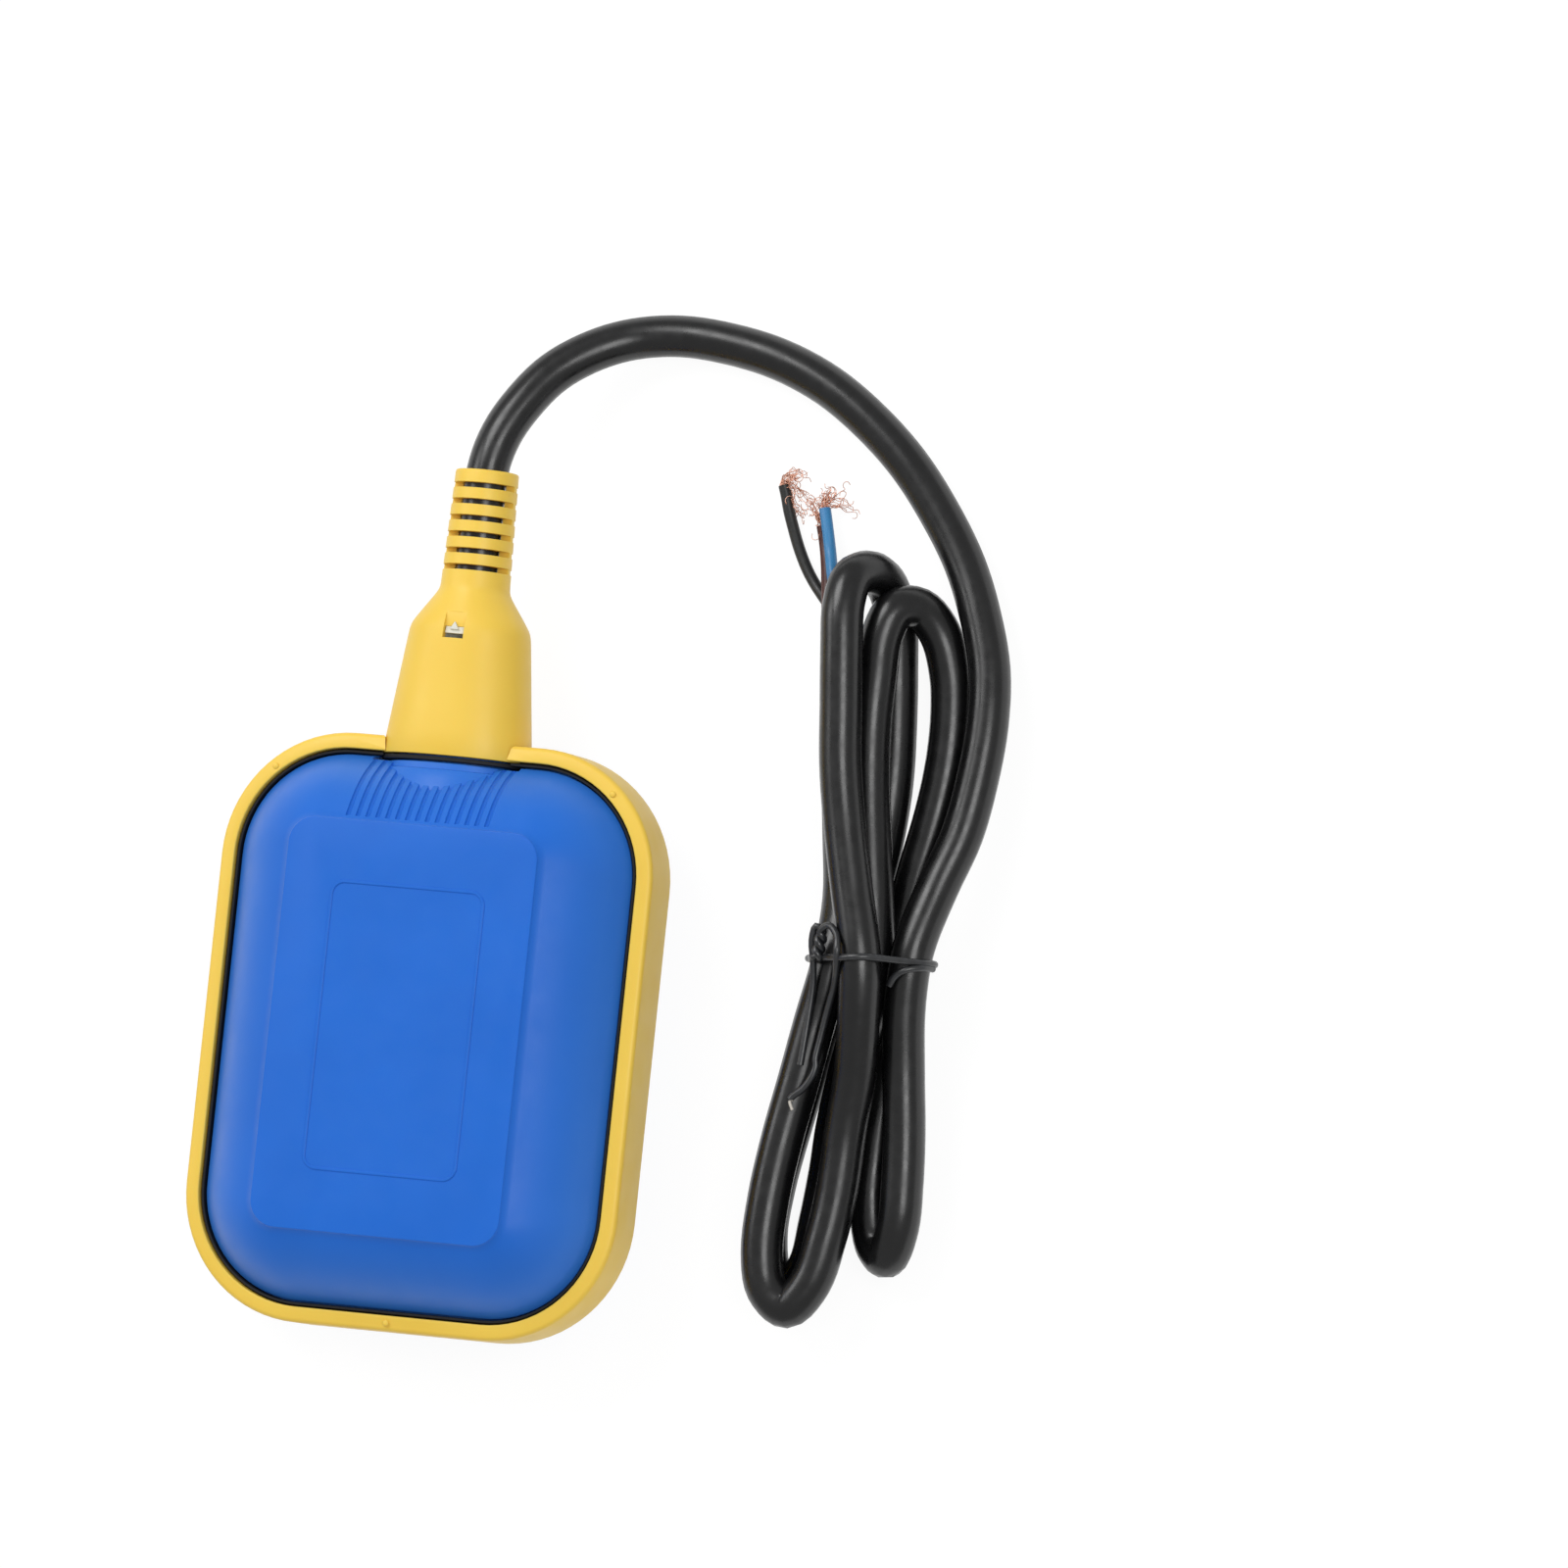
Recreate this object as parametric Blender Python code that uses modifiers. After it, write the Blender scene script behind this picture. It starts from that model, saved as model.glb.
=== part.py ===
"""Cable float switch: a sealed two-colour float with its ball and microswitch, its neck with a
slotted strain relief, and the whole cable tied in a hank.

Metres, +Z up. The float lies on its rear panel at z = 0, centred on the origin, with its neck
along +Y. The float's own pieces hang on an empty at mid-thickness, where the two shells meet.
"""

import math

import bmesh
import bpy
from mathutils import Vector

# Clearance between pieces that touch on the real product
FIT = 0.0003

# Float outline and yellow band
FLOAT_WIDTH = 0.0844
FLOAT_LENGTH = 0.109
FLOAT_THICKNESS = 0.037
CORNER_RADIUS = 0.024
BAND_WEB = 0.00125
BAND_REACH = 0.0029
BAND_HALF_HEIGHT = 0.0062
BAND_EDGE_DROP = 0.0008
BAND_CORNER = 0.0010

# Rubber seal in the band
SEAL_WEB = 0.0006
SEAL_ARM = 0.0008
SEAL_BEAD = 0.00055
SEAL_BEAD_DROP = 0.0007

# Blue shells
SHELL_WALL = 0.0022
SKIRT_HEIGHT = 0.0048
SLOPE_CROWN = 0.0015
PANEL_WIDTH = 0.0485
PANEL_LENGTH = 0.0755
PANEL_RADIUS = 0.005
PANEL_CHAMFER = 0.00035
FRAME_WIDTH = 0.0302
FRAME_LENGTH = 0.0533
FRAME_RADIUS = 0.0028
FRAME_LINE = 0.0006
FRAME_RISE = 0.00022
GROOVE_COUNT = 15
GROOVE_PITCH = 0.00193
GROOVE_WIDTH = 0.0009
GROOVE_DEPTH = 0.00045
SADDLE_THICKNESS = 0.0018
SADDLE_INSET = 0.00325
SADDLE_PLACES = (-0.022, 0.014)

# Neck of the shells, with its lengths along +Y measured from the boss's end
BOSS_SETBACK = 0.0045
BOSS_HALF_WIDTH = 0.0113
BOSS_HALF_DEPTH = 0.0104
BOSS_RUN = 0.0045
BOSS_RISE = 0.0019
COLLAR_LENGTH = 0.022
COLLAR_HALF_WIDTH = 0.0110
COLLAR_HALF_DEPTH = 0.0086
COLLAR_TIP_HALF_WIDTH = 0.0096
COLLAR_TIP_HALF_DEPTH = 0.0075
SOCKET_HALF_WIDTH = 0.0077
SOCKET_HALF_DEPTH = 0.0057
SOCKET_OFFSET = 0.0057
WIRE_BORE_RADIUS = 0.0045
GASKET_THICKNESS = 0.0008

# Hood and strain relief, with its lengths measured from the boss's end too
HOOD_HALF_WIDTH = 0.0141
HOOD_HALF_DEPTH = 0.0106
SHOULDER_OFFSET = 0.0247
SHOULDER_LENGTH = 0.0083
SHOULDER_HALF_WIDTH = 0.01135
SHOULDER_HALF_DEPTH = 0.0094
SHOULDER_EASES = ((0.10, 0.045), (0.30, 0.235), (0.62, 0.61), (0.90, 0.925), (1.02, 1.0))
SKIRT_SHARES = (0.0, 0.36, 0.54, 0.957)
LEDGE_SHARE = 0.71
HOOD_WALL = 0.0016
HOOD_ROUNDNESS = 2.12
SLEEVE_OFFSET = 0.0548
SLEEVE_RADIUS = 0.0064
SLEEVE_TIP_RADIUS = 0.00585
KERF_COUNT = 6
KERF_OFFSET = 0.0366
KERF_PITCH = 0.00305
KERF_WIDTH = 0.00105
SPINE_HALF_DEPTH = 0.0026
WINDOW_WIDTH = 0.0040
WINDOW_LENGTH = 0.0050
WINDOW_OFFSET = 0.0256

# Gland insert and bush
BUSH_LENGTH = 0.007
GLAND_HEAD_HALF_WIDTH = 0.0093
GLAND_HEAD_HALF_DEPTH = 0.00735
GLAND_HEAD_STRAIGHT = 0.0019
GLAND_TIP_OFFSET = 0.0298
GLAND_TIP_HALF_WIDTH = 0.0062
GLAND_TIP_HALF_DEPTH = 0.0059
HOOK_WIDTH = 0.0031
HOOK_GAP = 0.0009
HOOK_LENGTH = 0.0037
HOOK_HEIGHT = 0.0090
HOOK_TIP_HEIGHT = 0.0076

# Capsule with the ball's channel and the switch's bay
BALL_RADIUS = 0.010
BALL_TRAVEL = 0.0485
BALL_START = -0.0265
CHANNEL_X = 0.010
CHANNEL_PLAY = 0.0005
CAPSULE_WALL = 0.0020
BAY_WALL = 0.0018
BAY_PLAY = 0.0022
WIRE_DOOR_HALF_HEIGHT = 0.0040
POST_RADIUS = 0.0033
POST_HALF_HEIGHT = 0.0070
CHANNEL_POST_PLACES = (-0.028, 0.024)
SCREW_RADIUS = 0.00125
SCREW_HEAD_RADIUS = 0.0026
SCREW_HEAD_HEIGHT = 0.0018
SCREW_LENGTH = 0.0110
SCREW_SEAT = 0.0045
SCREW_HOLE_RADIUS = 0.0017
LEVER_SLOT_START = -0.0010
LEVER_SLOT_SPARE = 0.0038
POCKET_START = -0.0012
POCKET_SPARE = 0.0025

# Microswitch, lever and plunger
SWITCH_LENGTH = 0.0278
SWITCH_DEPTH = 0.0153
SWITCH_HALF_THICKNESS = 0.00515
SWITCH_FACE_X = -0.0047
SWITCH_EDGE = 0.0004
EAR_DEPTH = 0.0046
EAR_INNER = 0.0025
EAR_THICKNESS = 0.0020
EAR_LENGTH = 0.0030
HINGE_X = -0.0038
HINGE_Y = 0.0012
PIN_RADIUS = 0.0006
PIN_PLAY = 0.0003
EYE_RADIUS = 0.0015
LEVER_SWING = math.radians(8.5)
LEVER_LENGTH = 0.0210
LEVER_THICKNESS = 0.0006
LEVER_HALF_HEIGHT = 0.0022
LEVER_BUMP = 0.0029
BUMP_LEAD = 0.0012
BUMP_BACK = 0.0028
BUMP_HEEL = 0.0042
PLUNGER_RADIUS = 0.0012
PLUNGER_LENGTH = 0.0040
PLUNGER_Y = 0.0092
PLUNGER_TRAVEL = 0.0012
TAB_PLACES = (0.004, 0.014, 0.024)
TAB_LENGTH = 0.0063
TAB_ROOT = 0.0015
TAB_WIDTH = 0.0048
TAB_THICKNESS = 0.0008
MOUNTING_HOLE_RADIUS = 0.0016
MOUNTING_PLACES = ((-0.0169, 0.0028), (-0.0169, 0.0250))

# Cable, its wires and its tie
CABLE_DIAMETER = 0.0078
CABLE_INNER_OFFSET = 0.007
CORE_DIAMETER = 0.0022
TIE_DIAMETER = 0.0013
TIE_PLACE = 0.0219
TIE_LEFT = 0.06695
TIE_RIGHT = 0.09685
TIE_BEND = 0.0030
TIE_EASE = 0.0008
TIE_TURN = 0.0042
HANK_FLOOR = 0.0001
HANK_HEIGHT = 0.0240
STRAND_LENGTH = 0.0060
STRAND_RADIUS = 0.00075
STRAND_SPREAD = 0.0013

# Sizes that follow from the ones above
MIDDLE_Z = FLOAT_THICKNESS / 2
SADDLE_HALF_WIDTH = PANEL_WIDTH / 2 - SADDLE_INSET
BOSS_END = FLOAT_LENGTH / 2 - BOSS_SETBACK
COLLAR_END = BOSS_END + COLLAR_LENGTH
SOCKET_FLOOR = BOSS_END + SOCKET_OFFSET
SHOULDER_START = BOSS_END + SHOULDER_OFFSET
SLEEVE_END = BOSS_END + SLEEVE_OFFSET
KERF_START = BOSS_END + KERF_OFFSET
WINDOW_PLACE = BOSS_END + WINDOW_OFFSET
GLAND_TIP = BOSS_END + GLAND_TIP_OFFSET
CABLE_INNER_END = BOSS_END + CABLE_INNER_OFFSET
SEAL_INSET = BAND_WEB + FIT
FLANGE_INSET = SEAL_INSET + SEAL_WEB + FIT
BEAD_INSET = BAND_REACH + FIT
WALL_INSET = BEAD_INSET + SEAL_BEAD + FIT
FLANGE_TOP = FIT / 2 + SHELL_WALL
ARM_BOTTOM = FLANGE_TOP + FIT
ARM_TOP = ARM_BOTTOM + SEAL_ARM
LIP_BOTTOM = ARM_TOP + FIT
GASKET_START = BOSS_END + FIT
HOOD_START = GASKET_START + GASKET_THICKNESS + FIT
CABLE_RADIUS = CABLE_DIAMETER / 2
CABLE_BORE_RADIUS = CABLE_RADIUS + FIT
CHANNEL_RADIUS = BALL_RADIUS + CHANNEL_PLAY
CHANNEL_START = BALL_START - BALL_RADIUS - FIT
CHANNEL_END = BALL_START + BALL_TRAVEL + BALL_RADIUS + FIT
CAPSULE_RADIUS = CHANNEL_RADIUS + CAPSULE_WALL
SWITCH_BACK_X = SWITCH_FACE_X - SWITCH_DEPTH
BAY_BACK_X = SWITCH_BACK_X - BAY_PLAY
BAY_HALF_HEIGHT = SWITCH_HALF_THICKNESS + FIT
BAY_START = -BAY_PLAY
BAY_END = SWITCH_LENGTH + BAY_PLAY
EAR_OUTER = EAR_INNER + EAR_THICKNESS
POST_STANDOFF = 0.7 * POST_RADIUS
POST_PLACES = (
    (CHANNEL_X + CAPSULE_RADIUS + POST_STANDOFF, CHANNEL_POST_PLACES[0]),
    (CHANNEL_X + CAPSULE_RADIUS + POST_STANDOFF, CHANNEL_POST_PLACES[1]),
    (BAY_BACK_X + POST_RADIUS / 2, BAY_START - BAY_WALL - POST_STANDOFF),
    (BAY_BACK_X + POST_RADIUS / 2, BAY_END + BAY_WALL + POST_STANDOFF),
)
SWITCH_NOTCH_X = HINGE_X - EYE_RADIUS - 3 * FIT

# Facets
CORNER_STEPS = 6
SLOPE_STEPS = 5
OVAL_STEPS = 24
ROUND_STEPS = 20
CHANNEL_STEPS = 24
POST_STEPS = 12
SCREW_STEPS = 10

# Where the sleeve ends in the routes below; they move along with it if the float's length changes
ROUTE_EXIT = 0.1048

# The cable's way: out of the hood, over in an arch and down the hank's outer side
LEAD_ROUTE = (
    (0.0, 0.057, 0.0185), (0.0, 0.068, 0.0185), (0.0, 0.080, 0.0185), (0.0, 0.092, 0.0185),
    (0.0, 0.105, 0.0185), (0.0016, 0.1121, 0.0176), (0.0047, 0.1187, 0.0155), (0.0088, 0.1247, 0.0125),
    (0.0149, 0.1296, 0.009), (0.0214, 0.1325, 0.0062), (0.0299, 0.1338, 0.0046), (0.0394, 0.1331, 0.0041),
    (0.0494, 0.1309, 0.004), (0.0593, 0.1267, 0.004), (0.0683, 0.1206, 0.004), (0.0763, 0.1134, 0.004),
    (0.0833, 0.1048, 0.004), (0.0893, 0.0957, 0.0045), (0.0937, 0.0861, 0.0055), (0.0960, 0.0811, 0.0061),
    (0.0967, 0.0773, 0.0066),
)

# The hank's outline seen from above: smooth round points, and corners where an end is square
HANK_OUTLINE = (
    (0.1009, 0.0764, "corner"), (0.1017, 0.0645, "round"), (0.0999, 0.0455, "round"),
    (0.0947, 0.0267, "round"), (0.0936, 0.0067, "round"), (0.0952, -0.0183, "round"),
    (0.0924, -0.0347, "round"), (0.0864, -0.0369, "round"), (0.0814, -0.0382, "round"),
    (0.0754, -0.0471, "round"), (0.0670, -0.0452, "round"), (0.0607, -0.0306, "round"),
    (0.0628, -0.0097, "round"), (0.0688, 0.0172, "round"), (0.0675, 0.0372, "round"),
    (0.0651, 0.0652, "round"), (0.0637, 0.0820, "corner"), (0.0679, 0.0820, "corner"),
    (0.0682, 0.0906, "round"), (0.0741, 0.0966, "round"), (0.0803, 0.0929, "round"),
    (0.0864, 0.0896, "round"), (0.0904, 0.0832, "round"), (0.0919, 0.0764, "corner"),
)

# The tie's two tails on the hank's front, from the loose end to the wrap and from the wrap to the loose end
TIE_TAIL_IN = (
    (0.06925, -0.0001), (0.07175, 0.0054), (0.07475, 0.0119), (0.07625, 0.0174), (0.08025, 0.0217),
    (0.08825, 0.0219),
)
TIE_TAIL_OUT = (
    (0.07375, 0.0225), (0.07595, 0.0257), (0.07925, 0.0251), (0.07965, 0.0194), (0.07745, 0.0129),
    (0.07545, 0.0067), (0.07375, 0.0019),
)

CORE_ROUTES = {
    "black": ((0.0659, 0.0824, 0.0026), (0.0649, 0.0850, 0.0024), (0.0628, 0.0877, 0.0021),
              (0.0603, 0.0917, 0.0014), (0.0576, 0.0967, 0.0013), (0.0549, 0.1023, 0.0014),
              (0.0534, 0.1059, 0.0016)),
    "brown": ((0.0643, 0.0825, 0.0052), (0.0636, 0.0852, 0.0052), (0.0626, 0.0887, 0.0048),
              (0.0615, 0.0925, 0.0040), (0.0603, 0.0962, 0.0028), (0.0590, 0.0998, 0.0018),
              (0.0583, 0.1021, 0.0015)),
    "blue": ((0.0666, 0.0825, 0.0063), (0.0663, 0.0857, 0.0059), (0.0655, 0.0892, 0.0050),
             (0.0645, 0.0927, 0.0039), (0.0633, 0.0962, 0.0026), (0.0619, 0.1002, 0.0018),
             (0.0606, 0.1042, 0.0018)),
}

# Wires from the cable's end to the switch: start beside the cable's axis, level over the
# capsule and column down its side, about mid-thickness
LEAD_LAYOUT = {
    "black": ((0.0, 0.0022), 0.0026, -0.0342, 0),
    "brown": ((-0.0019, -0.0011), 0.0, -0.0317, 1),
    "blue": ((0.0019, -0.0011), -0.0026, -0.0292, 2),
}
LEAD_DROPS = (0.006, 0.0105, 0.0142)
LEAD_CROSSING = ((-0.0026, 0.0400), (-0.0075, 0.0390), (-0.0140, 0.0388), (-0.0215, 0.0388))
LEAD_CORNER = (-0.0255, 0.0374)
LEAD_SHOULDER = 0.0335
LEAD_COLUMN_TOP = 0.0292
LEAD_LONG_DROP = 0.008
LEAD_TURN = (0.0016, 0.0002, 0.0014, 0.0010)
LEAD_LAND = (0.0028, 0.0006)


def clear_scene():
    """Remove every object and leave two collections: the parts and their cutters."""
    for item in list(bpy.data.objects):
        bpy.data.objects.remove(item, do_unlink=True)
    root = bpy.context.scene.collection
    made = []
    for name in ("cable_float_switch", "cutters"):
        group = bpy.data.collections.new(name)
        root.children.link(group)
        made.append(group)
    return made


PARTS, CUTTERS = clear_scene()


def plastic(name, colour, roughness, metallic=0.0):
    """Principled material with a plain colour."""
    material = bpy.data.materials.new(name)
    material.use_nodes = True
    shader = material.node_tree.nodes["Principled BSDF"]
    shader.inputs["Base Color"].default_value = (*colour, 1.0)
    shader.inputs["Roughness"].default_value = roughness
    shader.inputs["Metallic"].default_value = metallic
    material.diffuse_color = (*colour, 1.0)
    return material


YELLOW = plastic("yellow_plastic", (0.83, 0.60, 0.07), 0.45)
BLUE = plastic("blue_plastic", (0.03, 0.16, 0.62), 0.40)
SEAL_BLACK = plastic("black_rubber", (0.012, 0.012, 0.015), 0.70)
NATURAL_NYLON = plastic("natural_nylon", (0.74, 0.74, 0.66), 0.45)
GREY_PLASTIC = plastic("grey_plastic", (0.42, 0.43, 0.45), 0.50)
CASE_BLACK = plastic("black_plastic", (0.02, 0.02, 0.02), 0.45)
STEEL = plastic("steel", (0.60, 0.61, 0.63), 0.25, 1.0)
BRASS = plastic("brass", (0.75, 0.55, 0.22), 0.35, 1.0)
COPPER = plastic("copper", (0.80, 0.42, 0.28), 0.35, 1.0)
CABLE_BLACK = plastic("cable_pvc", (0.018, 0.018, 0.020), 0.38)
TIE_BLACK = plastic("tie_wire", (0.020, 0.020, 0.022), 0.38)
WIRE_COLOURS = {
    "black": plastic("wire_black", (0.015, 0.015, 0.016), 0.40),
    "brown": plastic("wire_brown", (0.09, 0.028, 0.018), 0.42),
    "blue": plastic("wire_blue", (0.05, 0.22, 0.46), 0.42),
}


def add_object(name, data, material=None, group=None):
    """Put a mesh or a curve in a collection as a named object."""
    item = bpy.data.objects.new(name, data)
    (group or PARTS).objects.link(item)
    if material:
        data.materials.append(material)
    if group == CUTTERS:
        item.hide_render = True
        item.display_type = "WIRE"
    return item


def mesh_object(name, bm, material=None, group=None):
    """Turn a bmesh into an object shaded smooth between its sharp edges."""
    mesh = bpy.data.meshes.new(name)
    bm.to_mesh(mesh)
    bm.free()
    mesh.shade_smooth()
    mesh.set_sharp_from_angle(angle=math.radians(32))
    return add_object(name, mesh, material, group)


def boolean(target, tool, operation="DIFFERENCE"):
    """Cut or join with an exact Boolean that stays on the target."""
    modifier = target.modifiers.new(tool.name, "BOOLEAN")
    modifier.solver = "EXACT"
    modifier.operation = operation
    modifier.object = tool


def rounded_rectangle(half_x, half_y, radius, steps=CORNER_STEPS):
    """Outline points, counter-clockwise, with each corner an arc."""
    points = []
    for quarter, (side_x, side_y) in enumerate(((1, 1), (-1, 1), (-1, -1), (1, -1))):
        for step in range(steps + 1):
            angle = math.pi / 2 * (quarter + step / steps)
            points.append((side_x * (half_x - radius) + radius * math.cos(angle),
                           side_y * (half_y - radius) + radius * math.sin(angle)))
    return points


def oval(half_x, half_z, roundness=2.0, steps=OVAL_STEPS):
    """Superellipse points, counter-clockwise; a roundness of 2 is a plain ellipse."""
    points = []
    for step in range(steps):
        angle = math.tau * step / steps
        cosine = math.cos(angle)
        sine = math.sin(angle)
        points.append((half_x * math.copysign(abs(cosine) ** (2 / roundness), cosine),
                       half_z * math.copysign(abs(sine) ** (2 / roundness), sine)))
    return points


def oval_ring(y, half_x, half_z, roundness=2.0):
    """An oval across the neck at the distance y along it."""
    return [Vector((x, y, z)) for x, z in oval(half_x, half_z, roundness)]


def half_oval_ring(y, half_x, half_z, side, base, steps=OVAL_STEPS // 2):
    """Half of an oval on one side of the middle plane, closed by a flat base."""
    ring = []
    for step in range(steps + 1):
        angle = math.pi * step / steps
        height = base + (half_z - base) * math.sin(angle)
        ring.append(Vector((half_x * math.cos(angle), y, side * height)))
    return ring


def skin(bm, rings, closed=False):
    """Join rings of as many points each with quads, and the last to the first if closed."""
    loops = [[bm.verts.new(point) for point in ring] for ring in rings]
    pairs = list(zip(loops, loops[1:]))
    if closed:
        pairs.append((loops[-1], loops[0]))
    for lower, upper in pairs:
        for here in range(len(lower)):
            after = (here + 1) % len(lower)
            bm.faces.new((lower[here], lower[after], upper[after], upper[here]))
    return loops


def loft(name, rings, material=None, group=None, closed=False):
    """Solid through rings of points, with end caps unless it closes on itself."""
    bm = bmesh.new()
    loops = skin(bm, rings, closed)
    if not closed:
        bm.faces.new(loops[0])
        bm.faces.new(loops[-1])
    bmesh.ops.recalc_face_normals(bm, faces=bm.faces)
    return mesh_object(name, bm, material, group)


def box(name, low, high, material=None, group=None):
    """Box between two corners."""
    bm = bmesh.new()
    bmesh.ops.create_cube(bm, size=1.0)
    size = Vector(high) - Vector(low)
    bmesh.ops.scale(bm, vec=size, verts=bm.verts)
    bmesh.ops.translate(bm, vec=Vector(low) + size / 2, verts=bm.verts)
    return mesh_object(name, bm, material, group)


def cylinder(name, start, end, radius, material=None, group=None, tip_radius=None, steps=ROUND_STEPS):
    """Cylinder or cone between two points."""
    start, end = Vector(start), Vector(end)
    bm = bmesh.new()
    bmesh.ops.create_cone(bm, cap_ends=True, segments=steps, radius1=radius,
                          radius2=radius if tip_radius is None else tip_radius,
                          depth=(end - start).length)
    turn = (end - start).to_track_quat("Z", "Y").to_matrix()
    bmesh.ops.rotate(bm, matrix=turn, verts=bm.verts)
    bmesh.ops.translate(bm, vec=(start + end) / 2, verts=bm.verts)
    return mesh_object(name, bm, material, group)


def join_boxes(name, spans, group):
    """Several separate boxes as one cutter."""
    bm = bmesh.new()
    for low, high in spans:
        made = bmesh.ops.create_cube(bm, size=1.0)["verts"]
        size = Vector(high) - Vector(low)
        bmesh.ops.scale(bm, vec=size, verts=made)
        bmesh.ops.translate(bm, vec=Vector(low) + size / 2, verts=made)
    return mesh_object(name, bm, None, group)


def flat_curve(name, outlines, half_height, material=None):
    """Plate from flat outlines, the later ones as holes."""
    curve = bpy.data.curves.new(name, "CURVE")
    curve.dimensions = "2D"
    curve.fill_mode = "BOTH"
    curve.extrude = half_height
    for outline in outlines:
        spline = curve.splines.new("POLY")
        spline.points.add(len(outline) - 1)
        for point, (x, y) in zip(spline.points, outline):
            point.co = (x, y, 0.0, 1.0)
        spline.use_cyclic_u = True
    return add_object(name, curve, material)


def curve_to_mesh(item, group=None):
    """Replace a curve object by its mesh, with the caps welded and the faces outwards."""
    bpy.context.view_layer.update()
    evaluated = item.evaluated_get(bpy.context.evaluated_depsgraph_get())
    mesh = bpy.data.meshes.new_from_object(evaluated)
    name = item.name
    place = item.matrix_world.copy()
    bpy.data.objects.remove(item, do_unlink=True)
    bm = bmesh.new()
    bm.from_mesh(mesh)
    bmesh.ops.remove_doubles(bm, verts=bm.verts, dist=1e-6)
    bmesh.ops.recalc_face_normals(bm, faces=bm.faces)
    bm.to_mesh(mesh)
    bm.free()
    mesh.shade_smooth()
    mesh.set_sharp_from_angle(angle=math.radians(32))
    made = add_object(name, mesh, None, group)
    made.matrix_world = place
    return made


def swept_band(name, section, material):
    """Sweep a closed section of (inset, height) points round the float's outline."""
    path = bpy.data.curves.new(name, "CURVE")
    path.dimensions = "2D"
    path.fill_mode = "NONE"
    spline = path.splines.new("POLY")
    outline = rounded_rectangle(FLOAT_WIDTH / 2, FLOAT_LENGTH / 2, CORNER_RADIUS)
    spline.points.add(len(outline) - 1)
    for point, (x, y) in zip(spline.points, outline):
        point.co = (x, y, 0.0, 1.0)
    spline.use_cyclic_u = True
    profile = bpy.data.curves.new(name + "_section", "CURVE")
    profile.dimensions = "2D"
    edge = profile.splines.new("POLY")
    edge.points.add(len(section) - 1)
    for point, (inset, height) in zip(edge.points, section):
        point.co = (inset, height, 0.0, 1.0)
    edge.use_cyclic_u = True
    guide = add_object(profile.name, profile, None, CUTTERS)
    path.bevel_mode = "OBJECT"
    path.bevel_object = guide
    band = curve_to_mesh(add_object(name, path, material))
    bpy.data.objects.remove(guide, do_unlink=True)
    return band


def smooth_route(points, parts=3):
    """Centripetal curve through hand-chosen points, cut into short even steps."""
    points = [Vector(p) for p in points]
    ends = [2 * points[0] - points[1]] + points + [2 * points[-1] - points[-2]]
    route = []
    for before, here, after, beyond in zip(ends, ends[1:], ends[2:], ends[3:]):
        knots = [0.0]
        for a, b in ((before, here), (here, after), (after, beyond)):
            knots.append(knots[-1] + max((b - a).length, 1e-9) ** 0.5)
        for part in range(parts):
            t = knots[1] + (knots[2] - knots[1]) * part / parts
            level = [before, here, after, beyond]
            first = [level[i] * ((knots[i + 1] - t) / (knots[i + 1] - knots[i]))
                     + level[i + 1] * ((t - knots[i]) / (knots[i + 1] - knots[i])) for i in range(3)]
            second = [first[i] * ((knots[i + 2] - t) / (knots[i + 2] - knots[i]))
                      + first[i + 1] * ((t - knots[i]) / (knots[i + 2] - knots[i])) for i in range(2)]
            route.append(second[0] * ((knots[2] - t) / (knots[2] - knots[1]))
                         + second[1] * ((t - knots[1]) / (knots[2] - knots[1])))
    return route + [points[-1]]


def wire(name, points, diameter, material, resolution=2):
    """Round wire with filled ends through a list of points."""
    curve = bpy.data.curves.new(name, "CURVE")
    curve.dimensions = "3D"
    curve.bevel_depth = diameter / 2
    curve.bevel_resolution = resolution
    curve.use_fill_caps = True
    spline = curve.splines.new("POLY")
    spline.points.add(len(points) - 1)
    for node, point in zip(spline.points, points):
        node.co = (*point, 1.0)
    return add_object(name, curve, material)


def band_section():
    """C-shaped section of the yellow band: a web with two lips over the shells' flanges."""
    lip_top = BAND_HALF_HEIGHT
    shoulder = BAND_HALF_HEIGHT - BAND_EDGE_DROP
    upper = [
        (BAND_WEB, LIP_BOTTOM),
        (BAND_REACH, LIP_BOTTOM),
        (BAND_REACH, lip_top - FIT),
        (BAND_REACH - FIT, lip_top),
        (BAND_CORNER, shoulder + BAND_EDGE_DROP * BAND_CORNER / BAND_REACH),
        (BAND_CORNER * 0.45, shoulder - BAND_CORNER * 0.12),
        (BAND_CORNER * 0.12, shoulder - BAND_CORNER * 0.5),
        (0.0, shoulder - BAND_CORNER),
    ]
    return upper + [(inset, -height) for inset, height in reversed(upper)]


def seal_section():
    """U-shaped section of the seal, with a bead that stands up between band and shell."""
    bead_top = BAND_HALF_HEIGHT - SEAL_BEAD_DROP
    bead_inner = BEAD_INSET + SEAL_BEAD
    upper = [
        (SEAL_INSET + SEAL_WEB, ARM_BOTTOM),
        (bead_inner, ARM_BOTTOM),
        (bead_inner, bead_top),
        (BEAD_INSET, bead_top),
        (BEAD_INSET, ARM_TOP),
        (SEAL_INSET, ARM_TOP),
    ]
    return upper + [(inset, -height) for inset, height in reversed(upper)]


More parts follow.
